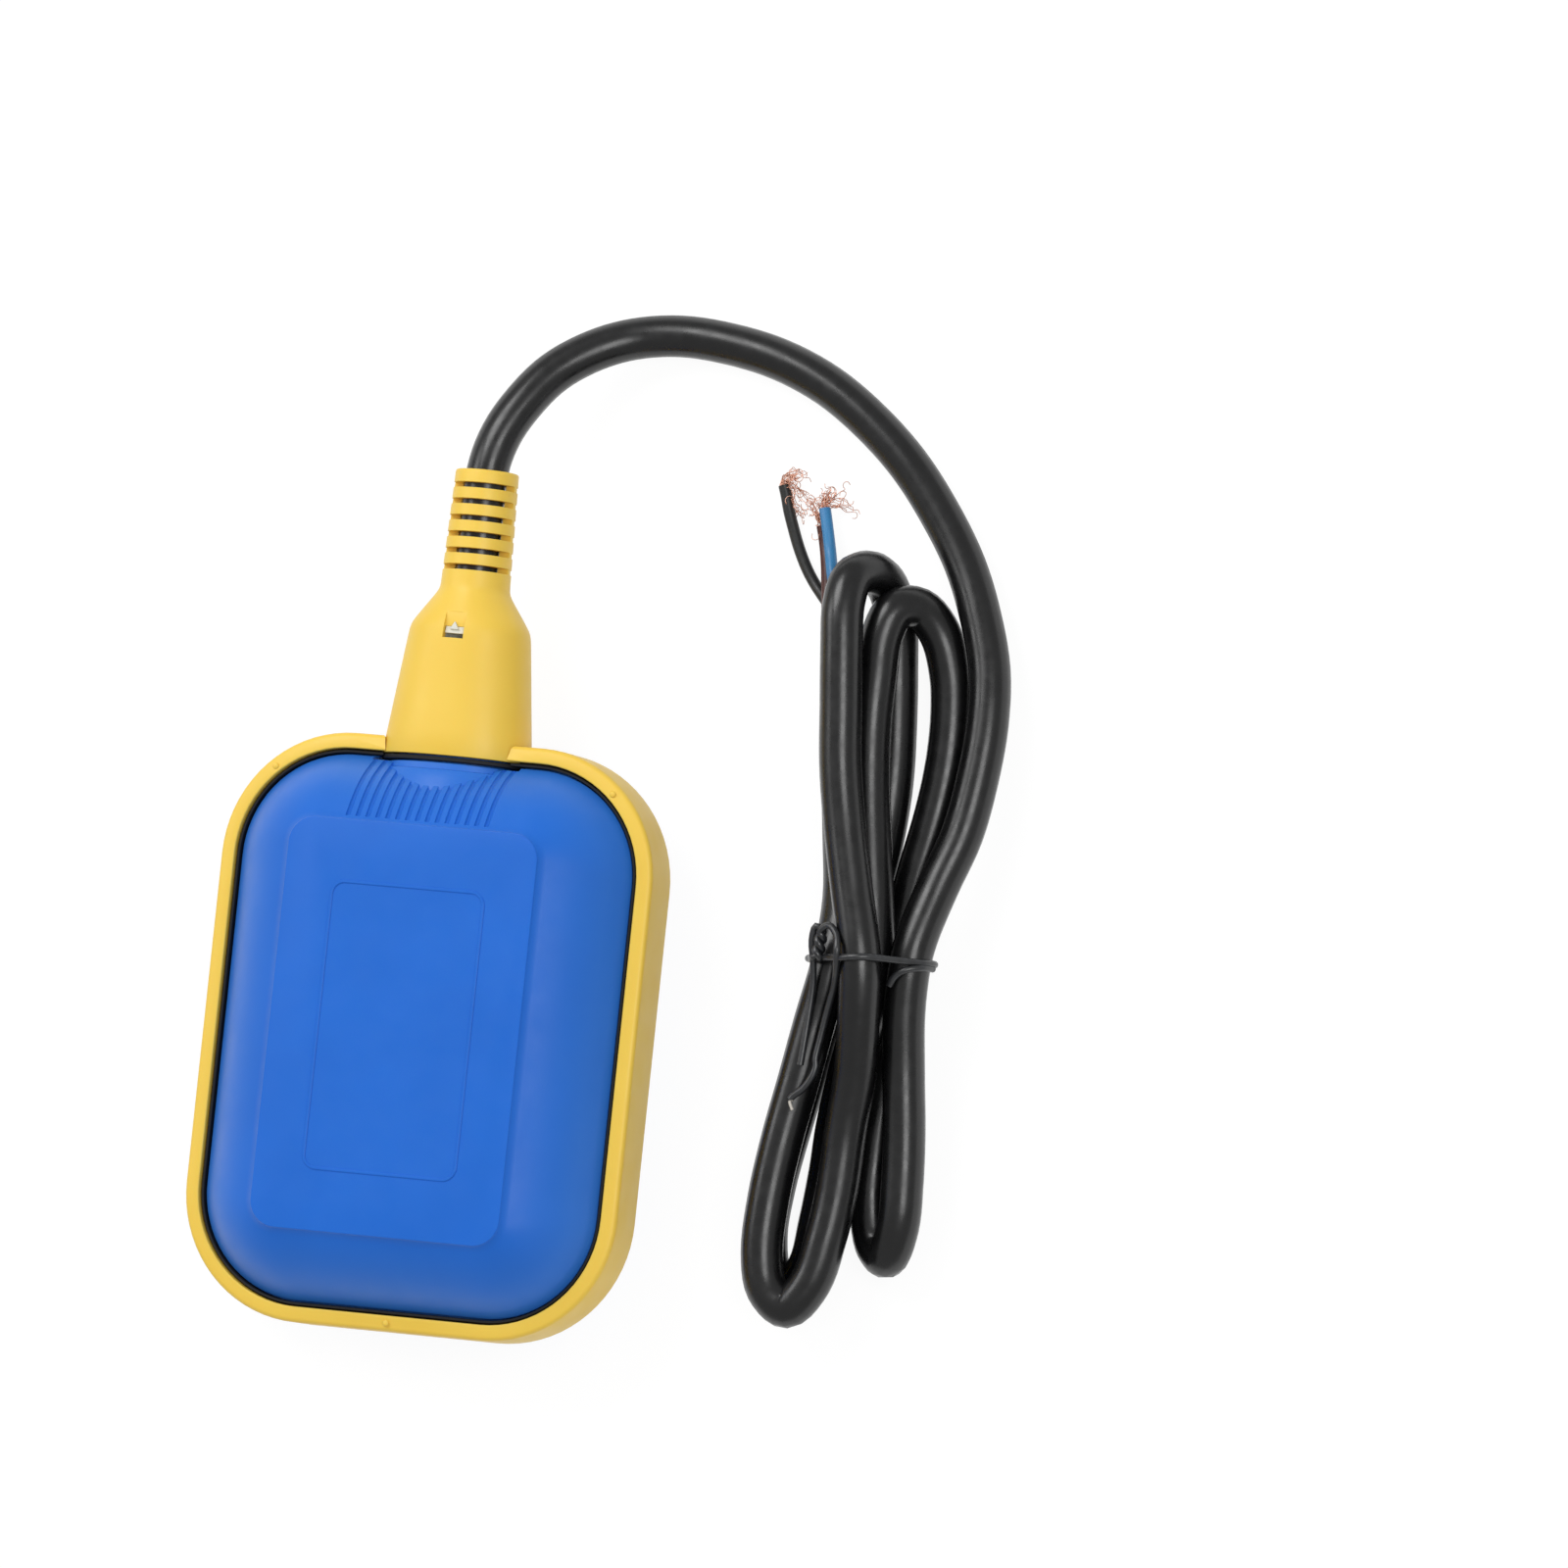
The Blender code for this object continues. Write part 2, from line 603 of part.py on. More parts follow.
def slope_station(share):
    """Half width, half length, corner radius and height on the crowned slope, from skirt to panel."""
    crown = SLOPE_CROWN * math.sin(math.pi * share) / math.sqrt(2)
    half_width = FLOAT_WIDTH / 2 - WALL_INSET
    half_length = FLOAT_LENGTH / 2 - WALL_INSET
    radius = CORNER_RADIUS - WALL_INSET
    panel_z = MIDDLE_Z - PANEL_CHAMFER
    return (
        half_width + (PANEL_WIDTH / 2 - half_width) * share + crown,
        half_length + (PANEL_LENGTH / 2 - half_length) * share + crown,
        radius + (PANEL_RADIUS - radius) * share + crown,
        SKIRT_HEIGHT + (panel_z - SKIRT_HEIGHT) * share + crown,
    )


def shell_stations():
    """Outline of the shell's outer skin from the flange's edge up to the flat panel."""
    def inset_by(inset, height):
        """Outline drawn in from the float's edge."""
        return FLOAT_WIDTH / 2 - inset, FLOAT_LENGTH / 2 - inset, CORNER_RADIUS - inset, height

    stations = [inset_by(FLANGE_INSET, FLANGE_TOP), inset_by(WALL_INSET, FLANGE_TOP)]
    stations += [slope_station(step / SLOPE_STEPS) for step in range(SLOPE_STEPS + 1)]
    stations.append((PANEL_WIDTH / 2 - PANEL_CHAMFER, PANEL_LENGTH / 2 - PANEL_CHAMFER,
                     PANEL_RADIUS - PANEL_CHAMFER, MIDDLE_Z))
    return stations


def shell_skin(name, side):
    """Open outer skin of a shell, thickened inwards to its wall."""
    rings = []
    for half_x, half_y, radius, height in shell_stations():
        rings.append([Vector((x, y, side * height)) for x, y in rounded_rectangle(half_x, half_y, radius)])
    bm = bmesh.new()
    loops = skin(bm, rings)
    bm.faces.new(loops[-1])
    if side < 0:
        bmesh.ops.reverse_faces(bm, faces=bm.faces)
    shell = mesh_object(name, bm, BLUE)
    wall = shell.modifiers.new("wall", "SOLIDIFY")
    wall.thickness = SHELL_WALL
    wall.offset = -1.0
    wall.use_even_offset = True
    wall.use_quality_normals = True
    return shell


def groove_cutter(name, side):
    """Row of narrow prisms that follow the slope above the neck."""
    shares = [step / SLOPE_STEPS for step in range(SLOPE_STEPS + 1)]
    shares[0] = 0.2 * shares[1]
    shares[-1] = 1.0 - 0.15 * shares[1]
    line = []
    for share in shares:
        _, half_length, _, height = slope_station(share)
        line.append((half_length, height))
    over = GROOVE_DEPTH * 3
    under = GROOVE_DEPTH * math.sqrt(0.5)
    section = [(y - under, z - under) for y, z in line] + [(y + over, z + over) for y, z in reversed(line)]
    bm = bmesh.new()
    for index in range(GROOVE_COUNT):
        middle = (index - (GROOVE_COUNT - 1) / 2) * GROOVE_PITCH
        ends = []
        for x in (middle - GROOVE_WIDTH / 2, middle + GROOVE_WIDTH / 2):
            ends.append([Vector((x, y, side * z)) for y, z in section])
        loops = skin(bm, ends)
        bm.faces.new(loops[0])
        bm.faces.new(loops[1])
    bmesh.ops.recalc_face_normals(bm, faces=bm.faces)
    return mesh_object(name, bm, None, CUTTERS)


def neck_half(name, side):
    """Boss that swells out of the slope, and the collar that the hood slips over, for one shell."""
    base = FIT / 2
    root = COLLAR_HALF_DEPTH * 0.9
    boss_stations = (
        (BOSS_END - BOSS_RUN * 1.8, BOSS_HALF_WIDTH * 0.66, BOSS_HALF_DEPTH + BOSS_RISE * 1.6),
        (BOSS_END - BOSS_RUN, BOSS_HALF_WIDTH * 0.86, BOSS_HALF_DEPTH + BOSS_RISE),
        (BOSS_END - BOSS_RUN / 2, BOSS_HALF_WIDTH * 0.95, BOSS_HALF_DEPTH + BOSS_RISE * 0.6),
        (BOSS_END, BOSS_HALF_WIDTH, BOSS_HALF_DEPTH),
    )
    collar_stations = (
        (BOSS_END - root / 2, COLLAR_HALF_WIDTH, COLLAR_HALF_DEPTH),
        (BOSS_END, COLLAR_HALF_WIDTH, COLLAR_HALF_DEPTH),
        (COLLAR_END, COLLAR_TIP_HALF_WIDTH, COLLAR_TIP_HALF_DEPTH),
    )
    pieces = []
    for part_name, stations in (("boss", boss_stations), ("collar", collar_stations)):
        rings = [half_oval_ring(*station, side, base) for station in stations]
        pieces.append(loft(f"{name}_{part_name}", rings, None, CUTTERS))
    return pieces


def saddle(name, place, side):
    """Rib under the panel with a round seat for the ball's channel."""
    inner_face = MIDDLE_Z - SHELL_WALL
    low, high = sorted((side * (BAY_HALF_HEIGHT + BAY_WALL + FIT), side * (inner_face + SHELL_WALL / 2)))
    half = SADDLE_THICKNESS / 2
    rib = box(name, (-SADDLE_HALF_WIDTH, place - half, low), (SADDLE_HALF_WIDTH, place + half, high),
              None, CUTTERS)
    seat = cylinder(name + "_seat", (CHANNEL_X, place - 2 * half, 0.0), (CHANNEL_X, place + 2 * half, 0.0),
                    CAPSULE_RADIUS + FIT, None, CUTTERS, steps=CHANNEL_STEPS)
    boolean(rib, seat)
    return rib


def panel_frame():
    """Thin raised outline on the front panel; its inside is bare."""
    outer = rounded_rectangle(FRAME_WIDTH / 2, FRAME_LENGTH / 2, FRAME_RADIUS, 4)
    inner = rounded_rectangle(FRAME_WIDTH / 2 - FRAME_LINE, FRAME_LENGTH / 2 - FRAME_LINE,
                              FRAME_RADIUS - FRAME_LINE, 4)
    line = flat_curve("panel_line", [outer, inner], FRAME_RISE)
    line.location.z = MIDDLE_Z
    return curve_to_mesh(line, CUTTERS)


def neck_cutters():
    """Bore through both shells' necks and the notch in their flanges for the hood."""
    inside = BOSS_END - 3 * BOSS_RUN
    bore = cylinder("wire_bore", (0.0, inside, 0.0), (0.0, SOCKET_FLOOR + FIT, 0.0),
                    WIRE_BORE_RADIUS, None, CUTTERS)
    socket = loft("bush_socket", [
        oval_ring(SOCKET_FLOOR, SOCKET_HALF_WIDTH, SOCKET_HALF_DEPTH),
        oval_ring(COLLAR_END + SHELL_WALL, SOCKET_HALF_WIDTH, SOCKET_HALF_DEPTH),
    ], None, CUTTERS)
    reach = HOOD_HALF_WIDTH + FIT
    notch = box("flange_notch", (-reach, BOSS_END - FIT / 2, -MIDDLE_Z), (reach, FLOAT_LENGTH, MIDDLE_Z),
                None, CUTTERS)
    return bore, socket, notch


def make_shell(name, side, cutters):
    """One moulded half of the float."""
    bore, socket, notch = cutters
    shell = shell_skin(name, side)
    boolean(shell, groove_cutter(name + "_grooves", side))
    boolean(shell, notch)
    for piece in neck_half(name, side):
        boolean(shell, piece, "UNION")
    boolean(shell, bore)
    boolean(shell, socket)
    for index, place in enumerate(SADDLE_PLACES):
        boolean(shell, saddle(f"{name}_saddle_{index + 1}", place, side), "UNION")
    return shell


def hood_stations():
    """Hood's outer form: distance along the neck, half width, half depth and roundness."""
    stations = []
    for share in SKIRT_SHARES:
        stations.append((HOOD_START + (SHOULDER_START - HOOD_START) * share,
                         HOOD_HALF_WIDTH + (SHOULDER_HALF_WIDTH - HOOD_HALF_WIDTH) * share,
                         HOOD_HALF_DEPTH + (SHOULDER_HALF_DEPTH - HOOD_HALF_DEPTH) * share, HOOD_ROUNDNESS))
    for share, ease in SHOULDER_EASES:
        stations.append((SHOULDER_START + SHOULDER_LENGTH * share,
                         SHOULDER_HALF_WIDTH + (SLEEVE_RADIUS - SHOULDER_HALF_WIDTH) * ease,
                         SHOULDER_HALF_DEPTH + (SLEEVE_RADIUS - SHOULDER_HALF_DEPTH) * ease,
                         HOOD_ROUNDNESS + (2.0 - HOOD_ROUNDNESS) * ease))
    stations.append((SLEEVE_END - 2 * FIT, SLEEVE_TIP_RADIUS, SLEEVE_TIP_RADIUS, 2.0))
    stations.append((SLEEVE_END, SLEEVE_TIP_RADIUS - 2 * FIT, SLEEVE_TIP_RADIUS - 2 * FIT, 2.0))
    return stations


def hood_cavity():
    """Hood's inner form: room for collar and gland, a ledge, then the cable's bore."""
    ledge = SHOULDER_START + LEDGE_SHARE * SHOULDER_LENGTH
    return [
        (SLEEVE_END, CABLE_BORE_RADIUS, CABLE_BORE_RADIUS, 2.0),
        (ledge + 2 * FIT, CABLE_BORE_RADIUS, CABLE_BORE_RADIUS, 2.0),
        (ledge, GLAND_TIP_HALF_WIDTH, GLAND_TIP_HALF_DEPTH, 2.0),
        (SHOULDER_START, SHOULDER_HALF_WIDTH - HOOD_WALL, SHOULDER_HALF_DEPTH - HOOD_WALL, HOOD_ROUNDNESS),
        (HOOD_START, HOOD_HALF_WIDTH - HOOD_WALL, HOOD_HALF_DEPTH - HOOD_WALL, HOOD_ROUNDNESS),
    ]


def make_hood():
    """Yellow hood: oval skirt, soft shoulder, latch windows and a slotted sleeve, all one moulding."""
    rings = [oval_ring(*station) for station in hood_stations() + hood_cavity()]
    hood = loft("cable_hood", rings, YELLOW, closed=True)
    reach = 2 * SLEEVE_RADIUS
    spans = []
    for index in range(KERF_COUNT):
        y = KERF_START + index * KERF_PITCH
        for side in (-1, 1):
            low, high = sorted((side * SPINE_HALF_DEPTH, side * reach))
            spans.append(((-reach, y - KERF_WIDTH / 2, low), (reach, y + KERF_WIDTH / 2, high)))
    boolean(hood, join_boxes("kerfs", spans, CUTTERS))
    half_width = WINDOW_WIDTH / 2
    half_length = WINDOW_LENGTH / 2
    windows = []
    for side in (-1, 1):
        low, high = sorted((side * CABLE_RADIUS, side * 2 * HOOD_HALF_DEPTH))
        windows.append(((-half_width, WINDOW_PLACE - half_length, low),
                        (half_width, WINDOW_PLACE + half_length, high)))
    boolean(hood, join_boxes("latch_windows", windows, CUTTERS))
    return hood


def hood_clearance():
    """The hood's skirt grown by the fit, to notch the band and the seal."""
    low = (BOSS_END - BOSS_RUN, HOOD_HALF_WIDTH + FIT, HOOD_HALF_DEPTH + FIT, HOOD_ROUNDNESS)
    high = (FLOAT_LENGTH / 2 + BOSS_RUN, HOOD_HALF_WIDTH + FIT, HOOD_HALF_DEPTH + FIT, HOOD_ROUNDNESS)
    return loft("hood_clearance", [oval_ring(*low), oval_ring(*high)], None, CUTTERS)


def neck_washer(name, start, length, outer, inner, material):
    """Flat oval washer across the neck, from an outer and an inner (half width, half depth)."""
    washer = flat_curve(name, [oval(*outer), oval(*inner)], length / 2, material)
    washer.rotation_euler.x = math.radians(90)
    washer.location.y = start + length / 2
    return washer


def make_gland():
    """Nylon insert: oval plug in the collar, head under the hood, and a hook for each window."""
    plug_start = SOCKET_FLOOR + FIT + BUSH_LENGTH + FIT
    head_start = COLLAR_END + FIT
    plug = (SOCKET_HALF_WIDTH - FIT, SOCKET_HALF_DEPTH - FIT)
    head = (GLAND_HEAD_HALF_WIDTH, GLAND_HEAD_HALF_DEPTH)
    tip = (GLAND_TIP_HALF_WIDTH, GLAND_TIP_HALF_DEPTH)
    bore = (CABLE_BORE_RADIUS, CABLE_BORE_RADIUS)
    rings = [
        oval_ring(plug_start, *plug),
        oval_ring(head_start, *plug),
        oval_ring(head_start, *head),
        oval_ring(head_start + GLAND_HEAD_STRAIGHT, *head),
        oval_ring(GLAND_TIP, *tip),
        oval_ring(GLAND_TIP, *bore),
        oval_ring(plug_start, *bore),
    ]
    gland = loft("gland_body", rings, NATURAL_NYLON, closed=True)
    start = WINDOW_PLACE - WINDOW_LENGTH / 2 + HOOK_GAP
    for name, side in (("front_hook", 1), ("rear_hook", -1)):
        root = side * (CABLE_BORE_RADIUS + HOOD_WALL / 2)
        section = [(start, root), (start, side * HOOK_HEIGHT), (start + 2 * FIT, side * HOOK_HEIGHT),
                   (start + HOOK_LENGTH, side * HOOK_TIP_HEIGHT), (start + HOOK_LENGTH, root)]
        ends = [[Vector((x, y, z)) for y, z in section] for x in (-HOOK_WIDTH / 2, HOOK_WIDTH / 2)]
        boolean(gland, loft(name, ends, None, CUTTERS), "UNION")
    return gland


def capsule_blank(name):
    """Both halves of the capsule as one block: channel tube, switch bay, posts and webs."""
    tube = cylinder(name, (CHANNEL_X, CHANNEL_START - CAPSULE_WALL, 0.0),
                    (CHANNEL_X, CHANNEL_END + CAPSULE_WALL, 0.0), CAPSULE_RADIUS, GREY_PLASTIC,
                    steps=CHANNEL_STEPS)
    height = BAY_HALF_HEIGHT + BAY_WALL
    bay = box(name + "_bay", (BAY_BACK_X - BAY_WALL, BAY_START - BAY_WALL, -height),
              (CHANNEL_X, BAY_END + BAY_WALL, height), None, CUTTERS)
    boolean(tube, bay, "UNION")
    for index, (x, y) in enumerate(POST_PLACES):
        post = cylinder(f"{name}_post_{index + 1}", (x, y, -POST_HALF_HEIGHT), (x, y, POST_HALF_HEIGHT),
                        POST_RADIUS, None, CUTTERS, steps=POST_STEPS)
        boolean(tube, post, "UNION")
    return tube


def capsule_hollow(name):
    """Cutters for the ball's channel, the bay, the lever's slot, the hinge's pocket and the wires' door."""
    reach = CHANNEL_X - CHANNEL_RADIUS * 0.6
    channel = cylinder(name + "_channel", (CHANNEL_X, CHANNEL_START, 0.0), (CHANNEL_X, CHANNEL_END, 0.0),
                       CHANNEL_RADIUS, None, CUTTERS, steps=CHANNEL_STEPS)
    bay = box(name + "_bay_hollow", (BAY_BACK_X, BAY_START, -BAY_HALF_HEIGHT),
              (CHANNEL_X - CAPSULE_RADIUS - FIT, BAY_END, BAY_HALF_HEIGHT), None, CUTTERS)
    slot_half = LEVER_HALF_HEIGHT + 2 * FIT
    slot = box(name + "_slot", (CHANNEL_X - CAPSULE_RADIUS - BAY_WALL, LEVER_SLOT_START, -slot_half),
               (reach, HINGE_Y + LEVER_LENGTH + LEVER_SLOT_SPARE, slot_half), None, CUTTERS)
    pocket_half = EAR_OUTER + 2 * FIT
    pocket = box(name + "_pocket", (SWITCH_FACE_X, POCKET_START, -pocket_half),
                 (HINGE_X + POCKET_SPARE, EAR_LENGTH + 2 * FIT, pocket_half), None, CUTTERS)
    door_start = TAB_PLACES[0] - TAB_WIDTH / 2
    door_end = TAB_PLACES[-1] + TAB_WIDTH / 2
    door = box(name + "_door", (BAY_BACK_X - 2 * BAY_WALL, door_start, -WIRE_DOOR_HALF_HEIGHT),
               (BAY_BACK_X + FIT, door_end, WIRE_DOOR_HALF_HEIGHT), None, CUTTERS)
    return channel, bay, slot, pocket, door


def make_capsule_half(name, side):
    """One half of the capsule: the lid in front, the body behind."""
    half = capsule_blank(name)
    for cutter in capsule_hollow(name):
        boolean(half, cutter)
    if side > 0:
        holes = [(SCREW_HOLE_RADIUS, -FIT, CAPSULE_RADIUS),
                 (SCREW_HEAD_RADIUS + FIT, SCREW_SEAT, CAPSULE_RADIUS)]
    else:
        depth = SCREW_SEAT + FIT - SCREW_LENGTH
        holes = [(SCREW_RADIUS + FIT, depth - FIT, FIT)]
    for index, (x, y) in enumerate(POST_PLACES):
        for number, (radius, low, high) in enumerate(holes):
            hole = cylinder(f"{name}_hole_{index + 1}_{number + 1}", (x, y, low), (x, y, high), radius,
                            None, CUTTERS, steps=POST_STEPS)
            boolean(half, hole)
    for index, (x, y) in enumerate(MOUNTING_PLACES):
        ends = sorted((-side * FIT, side * (BAY_HALF_HEIGHT + BAY_WALL / 2)))
        peg = cylinder(f"{name}_peg_{index + 1}", (x, y, ends[0]), (x, y, ends[1]),
                       MOUNTING_HOLE_RADIUS - FIT, None, CUTTERS, steps=12)
        boolean(half, peg, "UNION")
    reach = FLOAT_LENGTH
    low, high = sorted((side * FIT / 2, -side * reach))
    boolean(half, box(name + "_parting", (-reach, -reach, low), (reach, reach, high), None, CUTTERS))
    return half


def make_screws():
    """Pan-head screws through the lid into the body, turned from one profile."""
    tip = -SCREW_LENGTH
    profile = [
        (0.0, SCREW_HEAD_HEIGHT),
        (SCREW_HEAD_RADIUS * 0.8, SCREW_HEAD_HEIGHT),
        (SCREW_HEAD_RADIUS, SCREW_HEAD_HEIGHT * 0.6),
        (SCREW_HEAD_RADIUS, 0.0),
        (SCREW_RADIUS, 0.0),
        (SCREW_RADIUS, tip + SCREW_RADIUS),
        (SCREW_RADIUS * 0.4, tip),
        (0.0, tip),
    ]
    mesh = bpy.data.meshes.new("capsule_screw")
    mesh.from_pydata([(x, 0.0, z) for x, z in profile], [(i, i + 1) for i in range(len(profile) - 1)], [])
    mesh.materials.append(STEEL)
    recess = SCREW_HEAD_RADIUS * 0.62
    cross = join_boxes("screw_recess", [
        ((-recess, -FIT, SCREW_HEAD_HEIGHT * 0.35), (recess, FIT, SCREW_HEAD_HEIGHT * 2)),
    ], CUTTERS)
    for index, (x, y) in enumerate(POST_PLACES):
        screw = add_object(f"capsule_screw_{index + 1}", mesh)
        turned = screw.modifiers.new("turned", "SCREW")
        turned.steps = SCREW_STEPS
        turned.render_steps = SCREW_STEPS
        turned.use_merge_vertices = True
        turned.merge_threshold = 1e-6
        screw.location = (x, y, SCREW_SEAT + FIT)
        slot = add_object(f"screw_recess_{index + 1}", cross.data, None, CUTTERS)
        slot.location = screw.location
        boolean(screw, slot)
        attach(slot)
        attach(screw)
    bpy.data.objects.remove(cross, do_unlink=True)


def make_ball():
    """Steel ball at the lower end of its channel."""
    bm = bmesh.new()
    bmesh.ops.create_uvsphere(bm, u_segments=18, v_segments=10, radius=BALL_RADIUS)
    ball = mesh_object("steel_ball", bm, STEEL)
    ball.location = (CHANNEL_X, BALL_START, FIT - CHANNEL_PLAY)
    return ball


def make_switch_case():
    """Microswitch housing with ears for the lever's pin, plunger hole, blade slots and mounting holes."""
    case = box("switch_case", (SWITCH_BACK_X, 0.0, -SWITCH_HALF_THICKNESS),
               (SWITCH_FACE_X, SWITCH_LENGTH, SWITCH_HALF_THICKNESS), CASE_BLACK)
    edges = case.modifiers.new("edges", "BEVEL")
    edges.width = SWITCH_EDGE
    edges.segments = 1
    edges.limit_method = "ANGLE"
    notch = box("hinge_notch", (SWITCH_NOTCH_X, -FIT, -2 * SWITCH_HALF_THICKNESS),
                (0.0, EAR_LENGTH, 2 * SWITCH_HALF_THICKNESS), None, CUTTERS)
    boolean(case, notch)
    for name, side in (("front_ear", 1), ("rear_ear", -1)):
        low, high = sorted((side * EAR_INNER, side * EAR_OUTER))
        ear = box(name, (SWITCH_NOTCH_X - EAR_THICKNESS, -FIT, low),
                  (SWITCH_NOTCH_X + EAR_DEPTH - FIT, EAR_LENGTH - FIT, high), None, CUTTERS)
        boolean(case, ear, "UNION")
    holes = [("pin_hole", (HINGE_X, HINGE_Y, -SWITCH_DEPTH), (HINGE_X, HINGE_Y, SWITCH_DEPTH),
              PIN_RADIUS + PIN_PLAY),
             ("plunger_hole", (HINGE_X - PLUNGER_LENGTH - 2 * PLUNGER_TRAVEL, PLUNGER_Y, 0.0),
              (0.0, PLUNGER_Y, 0.0), PLUNGER_RADIUS + FIT)]
    for index, (x, y) in enumerate(MOUNTING_PLACES):
        holes.append((f"mounting_hole_{index + 1}", (x, y, -SWITCH_DEPTH), (x, y, SWITCH_DEPTH),
                      MOUNTING_HOLE_RADIUS))
    for name, start, end, radius in holes:
        boolean(case, cylinder(name, start, end, radius, None, CUTTERS, steps=12))
    spans = []
    for y in TAB_PLACES:
        half = TAB_THICKNESS / 2 + FIT
        spans.append(((SWITCH_BACK_X - FIT, y - half, -TAB_WIDTH / 2 - FIT),
                      (SWITCH_BACK_X + TAB_ROOT + FIT, y + half, TAB_WIDTH / 2 + FIT)))
    boolean(case, join_boxes("blade_slots", spans, CUTTERS))
    return case


def make_terminals():
    """Flat blades that stand out of the switch's back."""
    for name, y in zip(("terminal_common", "terminal_open", "terminal_closed"), TAB_PLACES):
        attach(box(name, (SWITCH_BACK_X - TAB_LENGTH, y - TAB_THICKNESS / 2, -TAB_WIDTH / 2),
                   (SWITCH_BACK_X + TAB_ROOT, y + TAB_THICKNESS / 2, TAB_WIDTH / 2), BRASS))


def make_lever():
    """Strip with an eye at its hinge and a bump that the ball rides on, drawn pressed and turned to rest."""
    half = LEVER_THICKNESS / 2
    top = LEVER_LENGTH
    outline = [(-half, 0.0), (-half, top), (LEVER_BUMP * 0.5, top + BUMP_LEAD), (LEVER_BUMP, top),
               (LEVER_BUMP + half, top - BUMP_LEAD), (LEVER_BUMP * 0.8, top - BUMP_BACK),
               (half, top - BUMP_HEEL), (half, 0.0)]
    strip = flat_curve("ball_lever", [outline], LEVER_HALF_HEIGHT, STEEL)
    lever = curve_to_mesh(strip)
    eye = cylinder("lever_eye", (0.0, 0.0, -LEVER_HALF_HEIGHT), (0.0, 0.0, LEVER_HALF_HEIGHT), EYE_RADIUS,
                   None, CUTTERS, steps=16)
    hole = cylinder("lever_hole", (0.0, 0.0, -2 * LEVER_HALF_HEIGHT), (0.0, 0.0, 2 * LEVER_HALF_HEIGHT),
                    PIN_RADIUS + PIN_PLAY, None, CUTTERS, steps=12)
    boolean(lever, eye, "UNION")
    boolean(lever, hole)
    for item in (lever, eye, hole):
        item.location = (HINGE_X, HINGE_Y, 0.0)
        item.rotation_euler.z = -LEVER_SWING
    return lever, eye, hole


def make_mechanism():
    """Ball, switch, lever, pin, plunger and blades in the capsule."""
    attach(make_ball())
    attach(make_switch_case())
    make_terminals()
    for item in make_lever():
        attach(item)
    attach(cylinder("lever_pin", (HINGE_X, HINGE_Y, -EAR_OUTER), (HINGE_X, HINGE_Y, EAR_OUTER),
                    PIN_RADIUS, STEEL, steps=12))
    lean = (PLUNGER_Y - HINGE_Y) * math.tan(LEVER_SWING)
    tip_x = HINGE_X + lean - LEVER_THICKNESS / 2 / math.cos(LEVER_SWING) - FIT
    attach(cylinder("switch_plunger", (tip_x - PLUNGER_LENGTH, PLUNGER_Y, 0.0), (tip_x, PLUNGER_Y, 0.0),
                    PLUNGER_RADIUS, NATURAL_NYLON, steps=12))


def make_inner_leads():
    """Three wires from the cable's end, round the capsule and onto the blades."""
    blade_end = SWITCH_BACK_X - TAB_LENGTH
    start = CABLE_INNER_END - FIT
    for colour, ((x, z), level, column, index) in LEAD_LAYOUT.items():
        y = TAB_PLACES[index]
        outward = column - LEAD_LAYOUT["blue"][2]
        shoulder_in, column_in, landing_in, blade_gap = LEAD_TURN
        route = [(x, start, z), (x, start - LEAD_DROPS[0], z),
                 (x * 0.9, start - LEAD_DROPS[1], z * 0.9 + level * 0.1),
                 (x * 0.5, start - LEAD_DROPS[2], z * 0.4 + level * 0.6)]
        route += [(crossing_x, crossing_y, level) for crossing_x, crossing_y in LEAD_CROSSING]
        route += [(LEAD_CORNER[0] + outward * 0.45, LEAD_CORNER[1] - outward * 0.3, level * 0.9),
                  (column + shoulder_in, LEAD_SHOULDER, level * 0.5),
                  (column, LEAD_COLUMN_TOP, level * 0.15)]
        drop = LEAD_COLUMN_TOP - y
        if drop > LEAD_LONG_DROP:
            route += [(column, LEAD_COLUMN_TOP - drop * 0.4, 0.0), (column, LEAD_COLUMN_TOP - drop * 0.7, 0.0)]
        route += [(column + column_in, y + LEAD_LAND[0], 0.0), (column + landing_in, y + LEAD_LAND[1], 0.0),
                  (blade_end - blade_gap, y, 0.0), (blade_end - FIT, y, 0.0)]
        attach(wire(f"lead_{colour}", smooth_route(route, 2), CORE_DIAMETER, WIRE_COLOURS[colour], 1))


def hank_outline():
    """Rounded outline through the hank's points, straight into its two square ends."""
    curve = bpy.data.curves.new("cable_hank", "CURVE")
    curve.dimensions = "2D"
    curve.fill_mode = "BOTH"
    curve.extrude = HANK_HEIGHT / 2
    curve.resolution_u = 3
    spline = curve.splines.new("BEZIER")
    spline.bezier_points.add(len(HANK_OUTLINE) - 1)
    for point, (x, y, kind) in zip(spline.bezier_points, HANK_OUTLINE):
        handle = "AUTO" if kind == "round" else "VECTOR"
        point.co = (x, y, 0.0)
        point.handle_left_type = handle
        point.handle_right_type = handle
    spline.use_cyclic_u = True
    return add_object("cable_hank", curve, CABLE_BLACK)


def make_hank():
    """Outer form of the tied cable as one block, with a notch underneath for the tie."""
    hank = hank_outline()
    hank.location.z = HANK_FLOOR + HANK_HEIGHT / 2
    hank = curve_to_mesh(hank)
    reach = 2 * HANK_HEIGHT
    centre_x = (TIE_LEFT + TIE_RIGHT) / 2
    half = 3 * TIE_DIAMETER
    notch = box("tie_notch", (centre_x - reach, TIE_PLACE - half / 2, -TIE_DIAMETER),
                (centre_x + reach, TIE_PLACE + half / 2, HANK_FLOOR + TIE_DIAMETER + 2 * FIT), None, CUTTERS)
    boolean(hank, notch)
    return hank, notch


